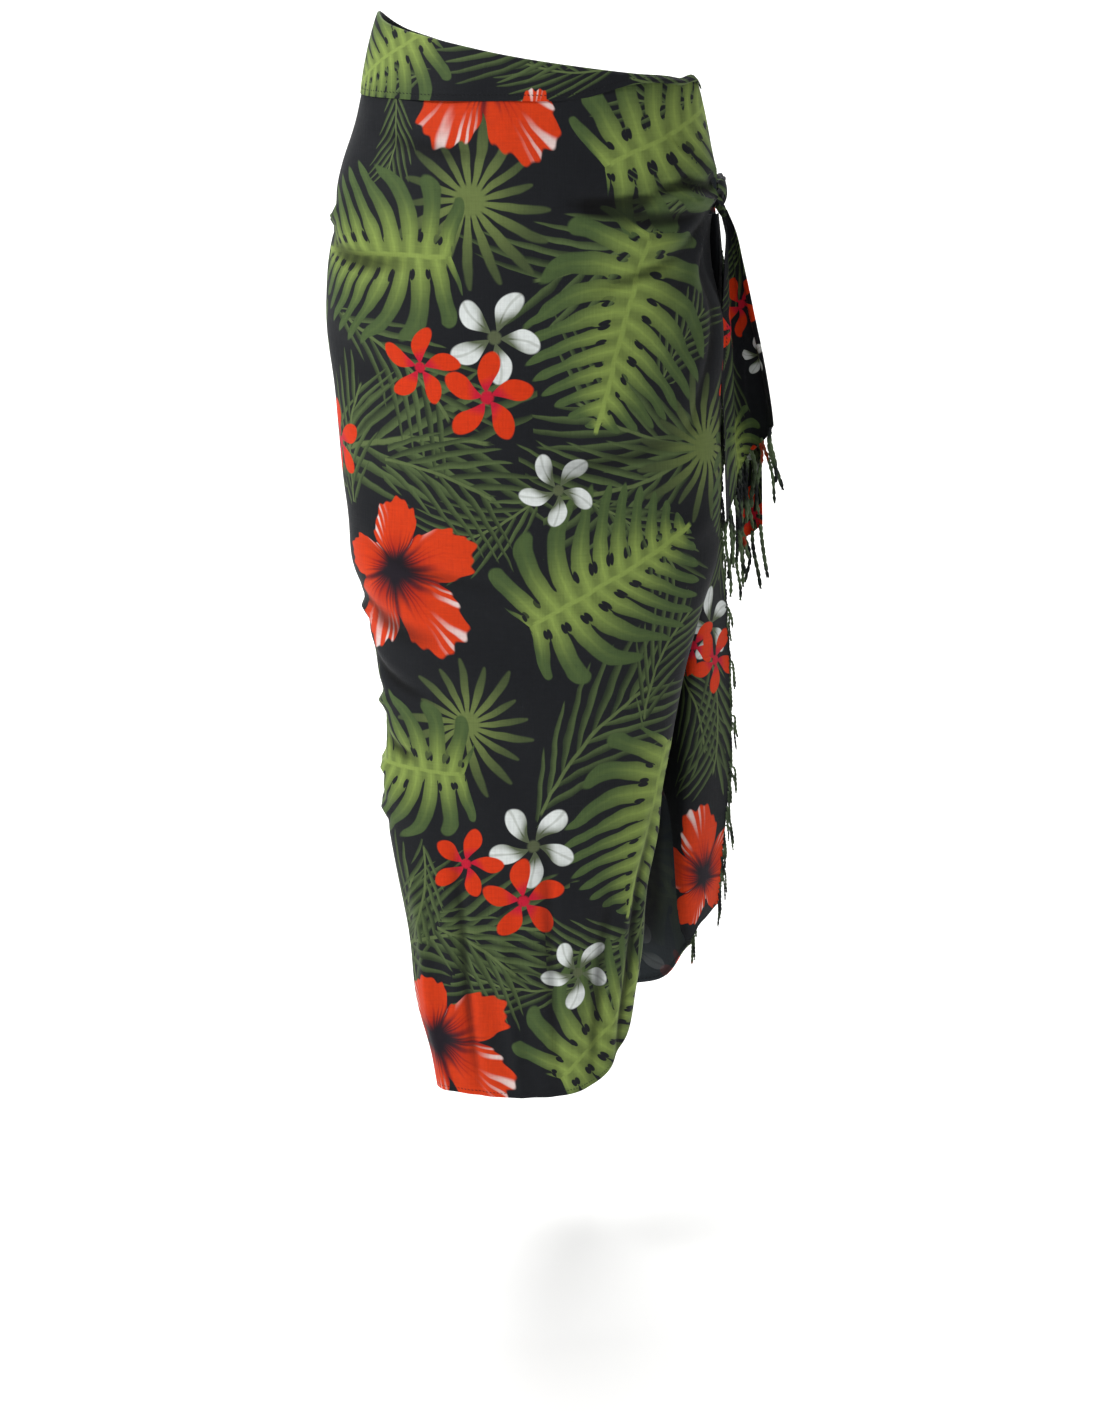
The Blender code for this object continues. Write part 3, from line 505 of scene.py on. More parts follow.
# each motif is drawn in its own size, with the numbers below: fingers for each length of rib,
# how its two sides differ, and where the leaf is widest
leafShape = {"fingers": 6.0, "offset": 0.24, "sides": 7.0, "halfWidth": 0.86, "base": 0.32}
palmShape = {"fingers": 4.4, "offset": 0.25, "sides": 5.0, "halfWidth": 0.60, "base": 0.28}
starLeaflets = 17.0
petals = 5.0


def fingerChance(start, side, shape, variety):  # each finger's own chance, and the place across it
    phase = start * shape["fingers"] + side * shape["offset"] + variety
    luck = put("chance", put("pair", put("floor", phase) + side * shape["sides"], variety))
    return luck, put("fract", phase) - 0.5


def petalChance(turn, count, variety):  # the same for what stands round a heart
    cell = put("floor", put("fract", put("floor", turn) / count) * count + 0.5)
    return put("chance", put("pair", cell, variety)), put("fract", turn) - 0.5


def drawLeaf(x, y, variety):  # a split leaf: fingers bend up from a pale rib, with holes beside it
    green, light, dark = printColours["leaf"]
    ax, side = put("absolute", x), put("sign", x)
    slope = 0.36 + 0.84 * y - 0.54 * put("maximum", y, 0.0)
    start = y - ax * slope - 0.22 * ax * ax
    above = start + leafShape["base"]  # the widest fingers leave the rib here
    low = put("maximum", 1 - above * above * 3.1, 0.0)
    high = put("maximum", 1 - put("power", put("maximum", above, 0.0) / 1.16, 1.35), 0.0)
    lowReach, highReach = put("power", low, 0.35), put("power", high, 0.8)
    lowOrHigh = lowReach + (highReach - lowReach) * put("greater_than", above, 0.0)
    reach = leafShape["halfWidth"] * lowOrHigh
    t = ax / put("maximum", reach, 0.01)
    luck, f = fingerChance(start, side, leafShape, variety)
    af = put("absolute", f)
    joined = 1 - put("smooth", t, 0.06 + 0.20 * luck, 0.14 + 0.26 * luck)
    half = 0.43 - 0.15 * put("smooth", t, 0.12 + 0.25 * luck, 0.80) + 0.2 * joined
    finger = 1 - put("smooth", af, half - 0.03, half + 0.03)
    tip = 1 - 1.6 * f * f + 0.25 * f * (1 - t)
    finger = finger * (1 - put("smooth", t, tip - 0.03, tip + 0.01)) * put("smooth", reach, 0.015, 0.05)
    holeX, holeY = (t - 0.22) * 14.3, af - 0.40
    hole = put("smooth", holeX * holeX + holeY * holeY * 60.0, 0.7, 1.2)
    finger = finger * put("maximum", hole, 1 - put("smooth", luck, 0.35, 0.4))  # six in ten have one
    ribEnd = put("smooth", put("absolute", y - 0.02), 0.84, 0.88)
    rib = (1 - put("smooth", ax, 0.014, 0.03)) * (1 - ribEnd)
    vein = 0.3 * (1 - put("smooth", af, 0.02, 0.10)) * (1 - t)
    pale = put("maximum", rib, 0.85 * (1 - put("smooth", t, 0.05, 0.75))) + vein
    shade = put("smooth", af, 0.1, 0.42) * 0.35 * (1 - rib)
    return put("maximum", finger, rib), put("paint", shade, put("paint", pale, green, light), dark)


def drawPalm(x, y, variety):  # a frond of narrow leaflets on a bent rib
    deep, light, ribColour = printColours["palm"]
    bent = x - 0.22 * y * y + 0.1
    ax, side = put("absolute", bent), put("sign", bent)
    start = y - 1.85 * ax + 0.25 * ax * ax
    above = start + palmShape["base"]
    room = put("maximum", 1 - above * above * 1.5625, 0.0)
    reach = palmShape["halfWidth"] * put("power", room, 0.42)
    luck, f = fingerChance(start, side, palmShape, variety)
    t = ax / put("maximum", reach, 0.01) * (0.95 + 0.35 * luck)
    half = 0.36 * put("power", put("maximum", 1 - t, 0.0), 0.55) * put("smooth", t, -0.15, 0.3)
    leaflet = 1 - put("smooth", put("absolute", f), half - 0.05, half + 0.04)
    leaflet = leaflet * (1 - put("smooth", t, 0.94, 1.0)) * put("smooth", reach, 0.015, 0.05)
    ribEnd = put("smooth", put("absolute", y + 0.18), 0.74, 0.80)
    rib = (1 - put("smooth", ax, 0.010, 0.024)) * (1 - ribEnd)
    colour = put("paint", put("smooth", f, -0.25, 0.2) * 0.55 + 0.35 * luck, deep, light)
    return put("maximum", leaflet, rib), put("paint", rib, colour, ribColour)


def drawStar(x, y, variety):  # a palm seen from its end, its leaflets round a heart
    r = put("sqrt", x * x + y * y)
    turn = put("arctan2", x, y) * (starLeaflets / (2 * math.pi)) + 0.9 * r * put("sine", variety * 9.0)
    luck, f = petalChance(turn, starLeaflets, variety)
    f = put("absolute", f)
    t = r / (0.62 + 0.36 * luck)
    half = 0.44 * put("power", put("maximum", 1 - t, 0.0), 0.55)
    leaflet = (1 - put("smooth", f, half - 0.06, half + 0.04)) * (1 - put("smooth", t, 0.97, 1.0))
    cover = put("maximum", leaflet, 1 - put("smooth", r, 0.13, 0.19))
    pale = 1 - put("smooth", t, 0.1, 0.9) * 0.8 + 0.2 * (0.5 - f)
    return cover, put("paint", pale, *printColours["star"])


def partedPetals(x, y, variety, power):  # where the petals lie, and how far along and across each
    r = put("sqrt", x * x + y * y)
    turn = put("arctan2", x, y) * (petals / (2 * math.pi)) + 0.12 * put("sine", r * 3.0 + variety * 3.0)
    luck, f = petalChance(turn, petals, variety)
    f = f * (2 * math.pi / petals)
    along = r * put("cosine", f) / (0.88 + 0.14 * luck)
    half = 0.225 * put("power", put("maximum", along, 0.0) / 0.60, power)
    across = r * put("sine", f) / put("maximum", half, 0.01)
    ends = put("absolute", (along - 0.55) / 0.45)
    edge = put("power", put("absolute", across), 1.7) + put("power", ends, 1.6)
    petal = 1 - put("smooth", edge, 0.88, 1.06)
    heart = 1 - put("smooth", r, 0.10, 0.16)
    return petal, heart, along, across


def drawWhite(x, y, variety):  # white petals with a grey-green throat and a fold down the middle
    white, throat, heartColour = printColours["white"]
    petal, heart, along, across = partedPetals(x, y, variety, 0.75)
    inner = 1 - put("smooth", along, 0.24, 0.62 + 0.12 * across)
    fold = 0.30 * (1 - put("smooth", put("absolute", across), 0.03, 0.16))
    colour = put("paint", inner + 0.45 * put("smooth", across, 0.1, 1.0) + fold, white, throat)
    return put("maximum", petal, 0.9 * heart), put("paint", heart, colour, heartColour)


def drawOrange(x, y, variety):  # orange petals, crimson towards the heart
    petal, heart, along, across = partedPetals(x, y, variety, 0.55)
    inner = put("maximum", 1 - put("smooth", along, 0.20, 0.50 + 0.12 * across), heart)
    return put("maximum", petal, heart), put("paint", inner, *printColours["orange"])


def drawHibiscus(x, y, variety):  # one large ruffled flower, its petals streaked white at the edge
    red, deepRed, streakColour, heartColour = printColours["hibiscus"]
    turn = put("arctan2", x, y)
    r = put("sqrt", x * x + y * y) / (0.78 + 0.22 * put("cosine", turn))
    th = turn * (petals / (2 * math.pi)) + variety
    luck, f = petalChance(th, petals, variety)
    af = put("absolute", f)
    ruffle = 0.030 * put("sine", th * 23.0 + 4.0 * luck) + 0.02 * put("sine", th * 51.0)
    edge = (0.86 + 0.18 * luck) * (1 - 2.0 * f * f) + ruffle
    t = r / edge
    lines = put("sine", th * 47.0 + 6.0 * r + 3.0 * put("sine", th * 11.0))
    where = put("smooth", put("sine", th * 4.2 + luck * 5.0), 0.1, 0.9)
    streak = put("smooth", lines, 0.0, 0.9) * put("smooth", t, 0.55, 0.95) * where
    seam = 1 - put("smooth", put("absolute", af - 0.5) * r, 0.004, 0.03)
    throat = 0.8 * (1 - put("smooth", t, 0.15, 0.60))
    veins = 0.3 * put("smooth", lines, 0.2, 0.9) * (1 - put("smooth", t, 0.3, 0.8))
    colour = put("paint", 0.9 * seam + throat + veins, red, deepRed)
    colour = put("paint", streak, colour, streakColour)
    heart = 1 - put("smooth", r * (1 - 0.8 * af), 0.08, 0.34 + 0.08 * lines)
    return 1 - put("smooth", r, edge - 0.02, edge + 0.01), put("paint", heart, colour, heartColour)


motifs = {
    "palm": motifGroup("Palm frond", drawPalm),
    "leaf": motifGroup("Split leaf", drawLeaf),
    "star": motifGroup("Star palm", drawStar),
    "white": motifGroup("White flower", drawWhite),
    "orange": motifGroup("Orange flower", drawOrange),
    "hibiscus": motifGroup("Hibiscus", drawHibiscus),
}
# from the ground up, and within a kind the first layer lies on top
printOrder = [(layer, kind) for kind in ("palm", "star", "leaf", "hibiscus", "white", "orange")
              for layer in reversed(printLayers[kind])]


def newMaterial(name):
    material = bpy.data.materials.new(name)
    material.use_nodes = True
    bench["tree"] = material.node_tree
    return material, material.node_tree.nodes["Principled BSDF"], material.node_tree.links


rayon = {
    # grains for each metre: slubs are thicker threads both ways, drawn 1.4 mm wide so that they show
    "slubAcross": 700.0, "slubAlong": 45.0, "dye": 230.0, "wobble": 42.0,
    # metres: how deep a crease sinks where its painted shade begins and where that painted shade is
    # darkest, the hem's stitches and their place
    "creaseFrom": 0.0002, "creaseTo": 0.0042, "stitchPitch": 0.0032, "stitchIn": 0.0046,
    "creaseShade": 0.80, "roughness": 0.66, "specular": 0.16, "sheen": 0.02, "sheenRoughness": 0.5,
}


def printedRayon(name, strength, ground):  # rayon challis, plain weave: limp and softly matt
    material, shader, links = newMaterial(name)
    flat = put("uvMap")
    wobble = put("noiseColour", flat, rayon["wobble"], 1.0, noise_dimensions="2D")
    colour = ground
    for layer, kind in printOrder:
        motif = put("motif", put("vectorOf", attribute_name=layer), wobble, node_tree=motifs[kind])
        cover = Wire(motif.socket.node.outputs["Cover"])
        colour = put("paint", cover * strength, colour, motif)
    u, v = put("xOf", flat), put("yOf", flat)
    across, along = rayon["slubAcross"], rayon["slubAlong"]
    slub = put("noise", put("pair", u * across, v * along), 1.0, 1.0, noise_dimensions="2D")
    slub = slub + put("noise", put("pair", u * along, v * across), 1.0, 1.0, noise_dimensions="2D")
    dye = put("noise", flat, rayon["dye"], 2.0, noise_dimensions="2D")  # it lies a little unevenly
    # painted shade: the colour darkens where the cloth sinks into a crease, standing in for the shade
    # there; tone carries the slubs' and the dye's own unevenness and this painted crease shade
    deep = put("valueOf", attribute_name="crease") * -1.0
    creaseShadeMask = put("smooth", deep, rayon["creaseFrom"], rayon["creaseTo"])
    tone = (0.74 + 0.18 * slub + 0.16 * dye) * (1 - rayon["creaseShade"] * creaseShadeMask)
    colour = put("brighten", colour, tone)
    rim = put("valueOf", attribute_name="edge")  # metres from the nearest edge
    dash = put("smooth", put("sine", (u + v) * (2 * math.pi / rayon["stitchPitch"])), -0.2, 0.2)
    stitch = (1 - put("smooth", put("absolute", rim - rayon["stitchIn"]), 0.0003, 0.0007)) * dash
    colour = put("paint", stitch * 0.7, colour, "0e0f12")
    height = slub * 0.00022 + stitch * -0.0004
    links.new(colour.socket, shader.inputs["Base Color"])
    links.new(put("bump", 0.6, 1.0, height).socket, shader.inputs["Normal"])
    links.new((rayon["roughness"] + 0.12 * dye).socket, shader.inputs["Roughness"])
    shader.inputs["Specular IOR Level"].default_value = rayon["specular"]
    shader.inputs["Sheen Weight"].default_value = rayon["sheen"]
    shader.inputs["Sheen Roughness"].default_value = rayon["sheenRoughness"]
    return material


faceCloth = printedRayon("Rayon, printed face", 1.0, "131519")
backCloth = printedRayon("Rayon, back of the print", 0.07, "22282c")  # the print only shows through


# grains for each metre: the print's patches, and the fibres, drawn coarse so that they show
thread = {"patches": 34.0, "fibres": 1100.0, "dark": "1d2122", "green": "5f7150", "orange": "a8391b",
          "shade": "0f1113", "roughness": 0.72, "specular": 0.2}


def rayonThread(name):  # the cloth's own threads, coloured as the cloth they were part of
    material, shader, links = newMaterial(name)
    where = put("object")
    broad = put("noise", where, thread["patches"], 1.0)
    fine = put("noise", where, thread["fibres"], 2.0)
    colour = put("paint", put("smooth", broad, 0.40, 0.56), thread["dark"], thread["green"])
    colour = put("paint", put("smooth", broad, 0.66, 0.70), colour, thread["orange"])
    colour = put("paint", fine * 0.6, colour, thread["shade"])
    links.new(colour.socket, shader.inputs["Base Color"])
    links.new(put("bump", 0.5, 0.0004, fine).socket, shader.inputs["Normal"])
    shader.inputs["Roughness"].default_value = thread["roughness"]
    shader.inputs["Specular IOR Level"].default_value = thread["specular"]
    return material


fringeThread = rayonThread("Rayon thread, twisted")
print("materials made")

wrap = {"columns": 186, "rows": 186, "fallColumns": 44, "hemRoll": 0.0006, "waves": 0.0014,
        "hemRows": (0.0042, 0.0004), "furtherRound": -46, "furtherUp": 21.5}


def columnHeights(along, rows):  # heights down a column, with two rows close together for the rolled hem
    top = readTable(edges, "along", "top", along)[:, None]
    hem = readTable(edges, "along", "hem", along)[:, None]
    share = np.linspace(0, 1, rows - 2)[None, :]
    body = top + (hem + cloth["hemStart"] - top) * share
    return np.concatenate([body, *(hem + up for up in wrap["hemRows"])], 1)


def softWaves(u, z):  # slow, uneven swells of limp cloth
    a = np.sin(u * 31 + 2.1 * np.sin(z * 13 + 0.7) + 0.6)
    b = np.sin(z * 37 + 1.7 * np.sin(u * 17 + 2.3) + 1.9)
    c = np.sin((u + z) * 53 + 1.3 * np.sin((u - z) * 21))
    return (a * b + 0.5 * c) * np.clip((0.02 - z) / 0.10, 0, 1)


def fallPoints(startColumn, startU, columns):  # the cloth beyond the fold: valley, ridge and free edge
    z0 = startColumn[:, 2]
    share = (z0 - z0[0]) / (z0[-1] - z0[0])
    points, around = [], []
    for fraction in np.linspace(0, 1, columns + 1)[1:]:
        z = z0[0] + share * (float(readTable(fallHem, "along", "hem", fraction)) - z0[0])
        line = pointAt(startColumn[:, :2], -z0, -z).T
        row = {name: readTable(fallPlan, "z", name, z) for name in fallNames[1:]}
        away = []
        for j, height in enumerate(z):
            stops = [(line[j, 0] + max(row["offX"][j], 0), line[j, 1] + max(row["offY"][j], 0))]
            stops += [(row[part + "X"][j], row[part + "Y"][j]) for part in ("valley", "ridge", "edge")]
            place, length = curveThrough(stops, fraction)
            ripple = 0.0012 * math.sin(fraction * 19) * min(max((-0.30 - height) / 0.4, 0), 1)
            points.append((place[0], place[1] + ripple, height))
            away.append(length * fraction)
        around.append(np.interp(-z, -z0, startU) + np.array(away))
    return np.array(points).reshape(columns, -1, 3), np.array(around)


def makeWrap():
    along = np.linspace(-1, 1, wrap["columns"])
    z = columnHeights(along, wrap["rows"])
    _, around = planPoints(along[:, None], z)
    points, around = woundPoints(along[:, None], z, wrap["waves"] * softWaves(around, z))
    first = int(np.argmax(z[-1] < cloth["knotBottom"]))
    fall, fallU = fallPoints(points[-1, first:], around[-1, first:], wrap["fallColumns"])
    index = np.arange(points[..., 0].size).reshape(z.shape)
    more = index.size + np.arange(fallU.size).reshape(fallU.shape)
    quads = np.concatenate([quadsOf(index), quadsOf(np.concatenate([index[-1:, first:], more]))])
    allPoints = np.concatenate([points.reshape(-1, 3), fall.reshape(-1, 3)])
    u = np.concatenate([around.ravel(), fallU.ravel()])
    hem = np.concatenate([np.repeat(z[:, -1], z.shape[1]), np.repeat(fall[:, -1, 2], fall.shape[1])])
    rim = allPoints[:, 2] - hem + wrap["hemRows"][1]
    thick = cloth["wall"] + wrap["hemRoll"] * (rim < 0.0050)
    piece = sheetMesh("wrap", allPoints, quads, u, allPoints[:, 2], thick, (faceCloth, backCloth))
    again = repeated(printRows, wrap["furtherRound"], wrap["furtherUp"])
    printOn(piece, printRows + again + stripPrint + sidePrint)
    addPointValue(piece, "edge", rim)
    # the crease heights, which the material reads to paint shade into the creases; none on the cloth
    # beyond the fold
    creases = creaseHeight(along[:, None], z).ravel()
    addPointValue(piece, "crease", np.concatenate([creases, np.zeros(fallU.size)]))
    return piece, points, fall


wrapPiece, wrapGrid, fallGrid = makeWrap()
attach(wrapPiece, "root")
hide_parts("front_stretch", "back_stretch", "front_fall")
print("wrap made", len(wrapPiece.data.polygons))

band = {"end": 0.93, "columns": 180, "turnRadius": 0.0016, "inside": 0.012, "puff": 0.0015,
        "hemRoll": 0.0005, "furtherRound": (-25, -47)}
bandPrint = motifRows(
    leaf=((-14, -0.8, 205, 6.4, 0.2),),
    palm=(
        (-1.7, 0.8, 171, 6.5, 0.35), (1.6, -1, 173, 5, 0.72), (10.5, -2, 178, 5.5, 0.15),
        (-18.5, -2.6, 96, 5, 0.45),
    ),
    hibiscus=((-0.7, -6.4, 80, 4.2, 0.5),),
)


def makeBand():  # the top edge, folded over outwards
    along = np.linspace(-band["end"], band["end"], band["columns"])
    top = readTable(edges, "along", "top", along)
    low = readTable(edges, "along", "band", along)
    offs, heights = [], []
    for share in (1.0, 0.6, 0.25):  # up the inside
        offs.append(np.full_like(along, -cloth["wall"] - 0.0006))
        heights.append(top - band["inside"] * share)
    for turn in np.linspace(0, math.pi, 7):  # over the top edge
        offs.append(np.full_like(along, -0.0001 - band["turnRadius"] * math.cos(turn)))
        heights.append(top - 0.0006 + band["turnRadius"] * math.sin(turn))
    for share in np.linspace(0.06, 1, 15):  # down the outside, a little puffed
        puff = band["puff"] * math.sin(math.pi * share) ** 0.7 * (1 + 0.5 * np.sin(along * 23 + 1.0))
        offs.append(0.0014 + puff + 0.0006 * np.sin(along * 31 + 4 * share) * share)
        heights.append(top + (low - top) * share)
    z = np.stack(heights, 1)
    points, around = woundPoints(along[:, None], np.minimum(z, top[:, None]), np.stack(offs, 1))
    points[..., 2] = z
    rim = z - low[:, None]
    rim[:, :10] = 1.0  # no hem inside or over the top
    thick = -cloth["wall"] - band["hemRoll"] * (rim.ravel() < 0.004)
    quads = quadsOf(np.arange(z.size).reshape(z.shape))[:, ::-1]
    piece = sheetMesh("waistBand", points.reshape(-1, 3), quads, around.ravel(), z.ravel(), thick,
                      (faceCloth, faceCloth))
    rows = list(bandPrint)
    for further in band["furtherRound"]:
        rows += repeated(bandPrint, further, 0, 900, 100)
    printOn(piece, rows)
    addPointValue(piece, "edge", rim.ravel())
    return piece


bandPiece = makeBand()
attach(bandPiece, "root")
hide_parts("waist_fold_front", "waist_fold_back")
print("band made")

tailGrid = {"columns": 40, "rows": 94}
tailNames = ("z", "innerX", "innerY", "middleX", "middleY", "outerX", "outerY")
frontTail = {
    "rows": (
        (-127.6, 153, -5.5, 155.5, -2.5, 156.8, -6),
        (-145, 157, -6, 160.5, 4, 165, -3),
        (-170, 156.5, -13, 165, 9, 171.5, -5),
        (-210, 156, -24, 171, 13, 182, -8),
        (-245, 156.5, -31, 176.5, 14, 191.5, -10),
        (-290, 157.5, -36, 181.5, 14, 200, -11),
        (-340, 158.5, -39, 185, 13, 204, -11),
        (-400, 161, -40, 187, 12, 206, -11),
    ),
    "bottom": (-0.388, -0.308), "pleats": 2.6, "depth": 0.0028, "phase": 0.4,
    "print": motifRows(
        palm=((2.4, -17, 262, 4.6, 0.2), (2, -28.5, 275, 6, 0.6)),
        leaf=((4.4, -34.5, 290, 4.6, 0.3),),
        orange=((4.2, -20.8, 30, 3.1, 0.7), (7.3, -35.2, 10, 2.6, 0.2), (1.2, -22.5, 120, 2.2, 0.4)),
        white=((6.6, -25, 80, 1.9, 0.6),),
    ),
}
backTail = {
    "rows": (
        (-127.6, 153, 11, 155, 15, 157.2, 11.5),
        (-150, 158.5, 12, 162, 20, 166.5, 14),
        (-190, 162, 17, 169, 30, 174.5, 19),
        (-250, 166, 21, 176, 37, 184, 22),
        (-330, 171, 23, 182, 39, 193, 23),
        (-400, 174, 24, 185, 37, 196, 24),
        (-450, 176, 24, 186, 36, 197, 24),
    ),
    "bottom": (-0.428, -0.402), "pleats": 2.2, "depth": 0.0022, "phase": 1.9,
    "print": motifRows(
        palm=((2, -19, 265, 6, 0.4), (3, -38, 280, 5, 0.8)),
        leaf=((2.2, -29, 255, 6.5, 0.7),),
        orange=((2.4, -39.5, 60, 2.8, 0.3),),
        white=((3.4, -34, 10, 2.2, 0.5),),
    ),
}


def makeTail(name, tail, node):  # a corner of the cloth that hangs from the knot
    plan = sortedTable(tailNames, tail["rows"])
    fractions = np.linspace(0, 1, tailGrid["columns"])
    lowest = tail["bottom"][0] + (tail["bottom"][1] - tail["bottom"][0]) * fractions
    share = np.concatenate([np.linspace(0, 0.985, tailGrid["rows"]), [0.990, 0.9995]])
    z = cloth["knotBottom"] + (lowest - cloth["knotBottom"])[:, None] * share[None, :]
    points, around = np.zeros((*z.shape, 3)), np.zeros(z.shape)
    for i, fraction in enumerate(fractions):
        row = {key: readTable(plan, "z", key, z[i]) for key in tailNames[1:]}
        for j in range(len(share)):
            stops = [(row[part + "X"][j], row[part + "Y"][j]) for part in ("inner", "middle", "outer")]
            place, length = curveThrough(stops, fraction)
            points[i, j] = (*place, z[i, j])
            around[i, j] = length * fraction
    quads = quadsOf(np.arange(z.size).reshape(z.shape))
    normals = pointNormals(points.reshape(-1, 3), quads).reshape(points.shape)
    grow = np.clip((cloth["knotBottom"] - z) / 0.10, 0, 1) * (0.6 + 0.4 * np.sin(z * 21))
    across = fractions[:, None]
    wave = np.sin(across * tail["pleats"] * 2 * math.pi + tail["phase"] + 9 * z)
    wave += 0.4 * np.sin(across * 23 + 30 * z)
    points += normals * (tail["depth"] * grow * wave)[..., None]
    rim = np.minimum(across, 1 - across) * around[-1:, :]
    piece = sheetMesh(name, points.reshape(-1, 3), quads, around.ravel(), z.ravel(), cloth["wall"],
                      (faceCloth, backCloth))
    printOn(piece, tail["print"])
    addPointValue(piece, "edge", rim.ravel())
    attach(piece, "root")
    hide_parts(node)
    return piece, points


frontTailPiece, frontTailGrid = makeTail("frontTail", frontTail, "front_tail")
backTailPiece, backTailGrid = makeTail("backTail", backTail, "back_tail")
print("tails made")

knot = {
    "centre": (0.1480, 0.0050, -0.1130), "sides": 28, "rings": 30, "pleats": 6, "pleatDepth": 0.10,
    "gathered": 1.6,  # metres of cloth bunched into each metre
    # the stretches of the knot: where each runs from the centre, and its half width and half depth
    "turns": {
        "core": (((-1, -18, 5), (3, -11, 6), (4.5, 0, 1), (3, 11, -5), (-1, 18, -10)),
                 0.0088, 0.005),
        "backCorner": (((-2, 19.5, 6), (2, 12, 8.5), (4.5, 3, 9), (3, -7, 7.5), (-2, -14, 3)),
                 0.0055, 0.0042),
        "wrapOver": (((0, -2, 12.5), (5.2, -1.5, 8), (7, 0.5, 0), (5.5, 2, -8.5), (1, 2.5, -14)),
                 0.0066, 0.003),
        "tailRoot": (((-2, -13, -1), (2, -8, -7), (4, -6, -12), (6, -8, -16), (7.5, -10, -20)),
                 0.0048, 0.0036),
        "backRoot": (((-1, 15, -3), (3, 11, -8), (5, 9, -13), (6.5, 8.5, -17), (7, 9, -20)),
                 0.0046, 0.0034),
    },
    "print": motifRows(
        palm=((-4.2, -19.4, 300, 8, 0.3),),
    ),
}


def tubeAlong(path, wide, deep, sides, pleats=0, pleatDepth=0.0):  # rings along a path, flat side out
    along = np.gradient(path, axis=0)
    along /= np.linalg.norm(along, axis=1, keepdims=True)
    facing = np.array((1.0, 0.0, 0.0)) - along * along[:, :1]
    facing /= np.maximum(np.linalg.norm(facing, axis=1, keepdims=True), 1e-9)
    across = np.cross(along, facing)
    turn = np.linspace(0, 2 * math.pi, sides, endpoint=False)[None, :, None]
    drift = 1.7 * np.linspace(0, 1, len(path))[:, None, None]  # the pleats turn a little on the way
    swell = 1 + pleatDepth * np.sin(turn * pleats + drift) * (1 + 0.5 * np.sin(turn * 2 + 1.0))
    wide, deep = np.reshape(wide, (-1, 1, 1)), np.reshape(deep, (-1, 1, 1))
    ring = np.cos(turn) * wide * swell * across[:, None] + np.sin(turn) * deep * swell * facing[:, None]
    return (path[:, None] + ring).reshape(-1, 3)


def tubeFaces(rings, sides):  # the tube's sides, and both ends closed with strips of quads
    index = np.arange(rings * sides).reshape(rings, sides)
    walls = quadsOf(np.concatenate([index, index[:, :1]], 1))
    k = np.arange(sides // 2 - 1)
    first = np.stack([k, k + 1, sides - 2 - k, sides - 1 - k], 1)
    last = first[:, ::-1] + (rings - 1) * sides
    return np.concatenate([walls, first, last])


def closedMesh(name, shapes, material):  # one piece from closed tubes
    count, faces = 0, []
    for points, quads in shapes:
        faces.append(quads + count)
        count += len(points)
    spots = np.concatenate([points for points, _ in shapes])
    mesh = smoothMesh(name, spots, np.concatenate(faces))
    mesh.materials.append(material)
    return linked(name, mesh)


def makeKnot():  # the two top corners tied: a core, a corner wound over it, and the two tails' roots
    shapes = []
    for stops, wide, deep in knot["turns"].values():
        path = smoothPath(np.array(stops) / 1000 + np.array(knot["centre"]), knot["rings"])
        taper = np.sin(np.linspace(0.05, 0.95, knot["rings"]) * math.pi) ** 0.35
        points = tubeAlong(path, wide * taper, deep * taper, knot["sides"], knot["pleats"],
                           knot["pleatDepth"])
        shapes.append((points, tubeFaces(knot["rings"], knot["sides"])))
    piece = closedMesh("hipKnot", shapes, faceCloth)
    spots = np.array([piece.data.vertices[loop.vertex_index].co for loop in piece.data.loops])
    addClothMap(piece.data, spots[:, 1:] * knot["gathered"])
    printOn(piece, knot["print"])
    addPointValue(piece, "edge", 1.0)
    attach(piece, "root")
    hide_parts("hip_knot")
    return piece


knotPiece = makeKnot()
print("knot made")

# spacing along the edge, a strand's length, how far it swings out, its half thickness, the draw's seed
fringes = {
    "fallFringe": {"pitch": 0.0062, "length": 0.030, "swing": 0.05, "half": 0.00072, "seed": 3,
                   "node": "fall_fringe"},
    "backFringe": {"pitch": 0.0062, "length": 0.030, "swing": 0.05, "half": 0.00072, "seed": 5,
                   "node": "back_fringe"},
    "frontTailFringe": {"pitch": 0.0082, "length": 0.066, "swing": 0.12, "half": 0.00125, "seed": 8,
                        "node": "front_tail_fringe"},
    "backTailFringe": {"pitch": 0.0074, "length": 0.050, "swing": 0.06, "half": 0.00120, "seed": 13,
                       "node": "back_tail_fringe"},
}


# two in eight strands stand out from the rest, as a small tuft; the twist is in half thicknesses
strand = {"tuft": (3, 4), "inEach": 8, "tuftSwing": 0.16, "leaves": 0.0014, "tuftLeaves": 0.004,
          "shortest": 0.72, "longest": 1.05, "points": 15, "sides": 6, "twist": 11, "thinFrom": 0.88}


def strandPath(root, out, fringe, draw, number):  # leaves the edge, turns down and hangs
    level = np.array((out[0], out[1], 0.0))
    level /= max(np.linalg.norm(level), 1e-6)
    across = np.array((-level[1], level[0], 0.0))
    length = fringe["length"] * draw.uniform(strand["shortest"], strand["longest"])
    stray = number % strand["inEach"] in strand["tuft"]
    swing = fringe["swing"] * draw.uniform(0.1, 1.0) + strand["tuftSwing"] * stray
    sideways = draw.uniform(-0.08, 0.08)
    t = np.linspace(0, 1, strand["points"])
    away = strand["leaves"] + strand["tuftLeaves"] * stray
    leaves = away * (1 - np.exp(-t * 9)) * max(0.0, 1 + out[2])
    curl = draw.uniform(-2.2, 2.2) * fringe["half"] * np.sin(t * 5.5 + number)
    path = root - out * 0.0012 + out * leaves[:, None] + np.array((0, 0, -length)) * (t ** 1.15)[:, None]
    path = path + level * (length * swing * t ** 1.4 + curl)[:, None]
    return path + across * (length * sideways * t)[:, None], level, across, length, t


